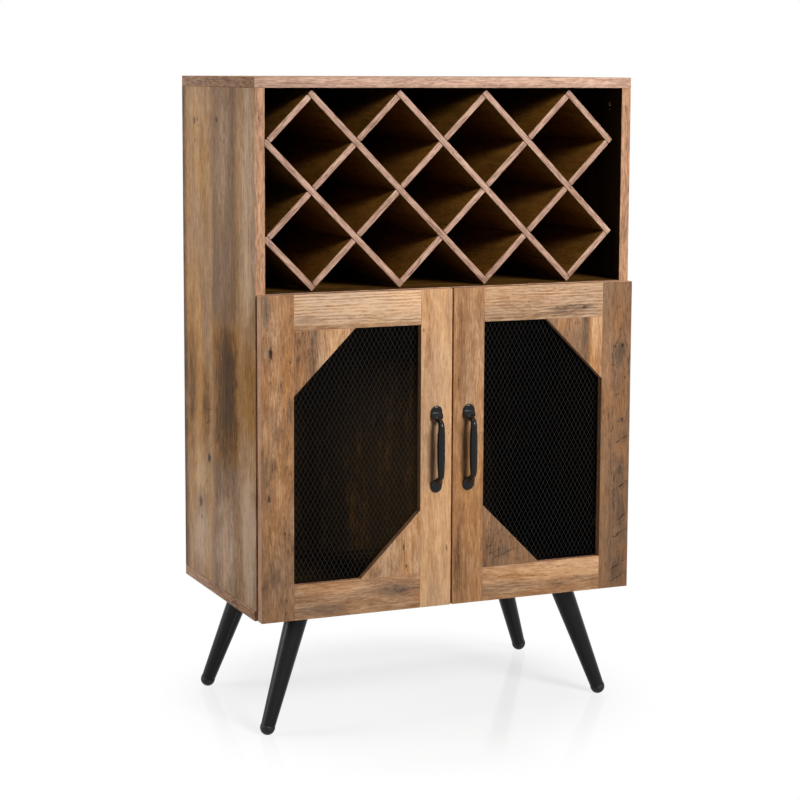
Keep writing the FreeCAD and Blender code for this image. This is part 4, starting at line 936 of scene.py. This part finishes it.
class CABINET_OT_fittings(bpy.types.Operator):
    """Dress hinges, screws, cam fittings and dowels"""
    bl_idname = "cabinet.fittings"
    bl_label = "Fittings"

    def execute(self, context):
        metal = context.scene.cabinet_metal
        nickel = coated("nickel_plating", metal.nickel, 0.28, 800.0, metallic=1.0)
        zinc = coated("zinc_plating", metal.zinc, 0.35, 800.0, metallic=1.0)
        beech = oak_banding("beech_dowel", "Z", 51.0, -0.2)
        for node in ("cam_locks", "cam_bolts", "hinge_arms", "hinge_plates", "left_hinge_links",
                     "right_hinge_links", "left_door_hinge_cups", "right_door_hinge_cups"):
            smooth_piece(node, nickel)
        for node in ("rack_screws", "panel_screws", "leg_bolts", "left_door_screws", "right_door_screws",
                     "left_handle_screws", "right_handle_screws"):
            smooth_piece(node, zinc)
        paint("carcass_dowels", beech)
        return {"FINISHED"}


class CABINET_OT_stage(bpy.types.Operator):
    """Set up the floor, the lamps, the sky and the camera"""
    bl_idname = "cabinet.stage"
    bl_label = "Stage"

    def execute(self, context):
        stage = context.scene.cabinet_stage
        context.scene.view_settings.view_transform = "Standard"
        self.floor()
        self.lamp("key_lamp", (0.834, -2.877, 1.953), (0.0, -0.15, 0.5), 1.4, stage.key_power)
        self.lamp("fill_lamp", (-2.5, 0.75, 1.1), (-0.29, 0.02, 0.55), 1.4, stage.fill_power)
        self.lamp("top_lamp", (0.0, 0.3, 3.3), (0.0, 0.1, 0.9), 1.8, stage.top_power)
        self.sky(stage.sky_level)
        self.camera(stage)
        return {"FINISHED"}

    def floor(self):
        mesh = bmesh.new()
        bmesh.ops.create_grid(mesh, x_segments=1, y_segments=1, size=12.0)
        data = bpy.data.meshes.new("floor")
        mesh.to_mesh(data)
        mesh.free()
        floor = bpy.data.objects.new("floor", data)
        bpy.context.scene.collection.objects.link(floor)
        made, tree = new_material("floor_white")
        camera, seen = self.seen(tree)
        matte = add(tree, "ShaderNodeBsdfDiffuse", {"Color": blend_colours(camera, FLOOR_GREY, FLOOR_WHITE)})
        glow = add(tree, "ShaderNodeEmission", {"Color": WHITE, "Strength": 1.0})
        sheen = add(tree, "ShaderNodeBsdfGlossy", {"Color": WHITE, "Roughness": 0.12})
        place = Signal(tree.nodes.new("ShaderNodeTexCoord").outputs["Object"])
        distance = place.maths("LENGTH", place, output="Value")
        share = seen * ramp_between(distance, *SHADOW_FADE, SHADOW_GLOW, 1.0)
        gloss = ramp_between(distance, *GLOSS_FADE, FLOOR_GLOSS, 0.0, "LINEAR")
        for factor, second in ((share, glow), (gloss, sheen)):
            matte = add(tree, "ShaderNodeMixShader", {0: factor, 1: Signal(matte.outputs[0]),
                                                      2: Signal(second.outputs[0])})
        finish_tree(tree, "ShaderNodeOutputMaterial", matte)
        data.materials.append(made)

    def seen(self, tree):
        """1 for what the camera sees, and 1 for what it sees straight, in a reflection or through glass."""
        path = tree.nodes.new("ShaderNodeLightPath")
        rays = [Signal(path.outputs[f"Is {kind} Ray"]) for kind in ("Camera", "Glossy", "Transmission")]
        return rays[0], largest(*rays)

    def lamp(self, name, place, target, size, power):
        data = bpy.data.lights.new(name, "AREA")
        data.shape = "DISK"
        data.size = size
        data.energy = power
        lamp = bpy.data.objects.new(name, data)
        lamp.location = place
        lamp.rotation_euler = (Vector(target) - Vector(place)).to_track_quat("-Z", "Y").to_euler()
        bpy.context.scene.collection.objects.link(lamp)

    def sky(self, level):
        world = bpy.data.worlds.new("pale_sky")
        tree = new_tree(world)
        strength = ramp_between(self.seen(tree)[1], 0.0, 1.0, level, 1.0, "LINEAR")
        finish_tree(tree, "ShaderNodeOutputWorld",
                    add(tree, "ShaderNodeBackground", {"Color": WHITE, "Strength": strength}))
        bpy.context.scene.world = world

    def camera(self, stage):
        data = bpy.data.cameras.new("photo_camera")
        data.sensor_width = 36.0
        data.lens = stage.camera_lens
        data.shift_y = stage.camera_shift
        camera = bpy.data.objects.new("photo_camera", data)
        turn = (Matrix.Rotation(-stage.camera_yaw, 4, "Z") @ Matrix.Rotation(math.pi / 2 - stage.camera_pitch, 4, "X")
                @ Matrix.Rotation(stage.camera_roll, 4, "Z"))
        camera.matrix_world = Matrix.Translation(stage.camera_place) @ turn
        bpy.context.scene.collection.objects.link(camera)
        bpy.context.scene.camera = camera


class CABINET_PT_panel(bpy.types.Panel):
    """The cabinet's parts, in the order they are made"""
    bl_idname = "CABINET_PT_panel"
    bl_label = "Wine rack cabinet"
    bl_space_type = "VIEW_3D"
    bl_region_type = "UI"
    bl_category = "Cabinet"

    def draw(self, context):
        for operator in OPERATORS:
            self.layout.operator(operator.bl_idname)
        for name in SETTINGS:
            group = getattr(context.scene, name)
            box = self.layout.box()
            for label in group.bl_rna.properties.keys():
                if label not in ("rna_type", "name"):
                    box.prop(group, label)


SETTINGS = {"cabinet_oak": OakSettings, "cabinet_metal": MetalSettings, "cabinet_stage": StageSettings}
OPERATORS = (CABINET_OT_finishes, CABINET_OT_carcass, CABINET_OT_rack, CABINET_OT_doors, CABINET_OT_mesh,
             CABINET_OT_handles, CABINET_OT_legs, CABINET_OT_fittings, CABINET_OT_stage)
CLASSES = (*SETTINGS.values(), *OPERATORS, CABINET_PT_panel)


def register():
    for item in CLASSES:
        bpy.utils.register_class(item)
    for name, group in SETTINGS.items():
        setattr(bpy.types.Scene, name, PointerProperty(type=group))


def unregister():
    for name in SETTINGS:
        delattr(bpy.types.Scene, name)
    for item in reversed(CLASSES):
        bpy.utils.unregister_class(item)


def main():
    register()
    bpy.ops.cabinet.finishes()
    bpy.ops.cabinet.carcass()
    bpy.ops.cabinet.rack()
    bpy.ops.cabinet.doors()
    bpy.ops.cabinet.mesh()
    bpy.ops.cabinet.handles()
    bpy.ops.cabinet.legs()
    bpy.ops.cabinet.fittings()
    bpy.ops.cabinet.stage()


if __name__ == "__main__":
    main()
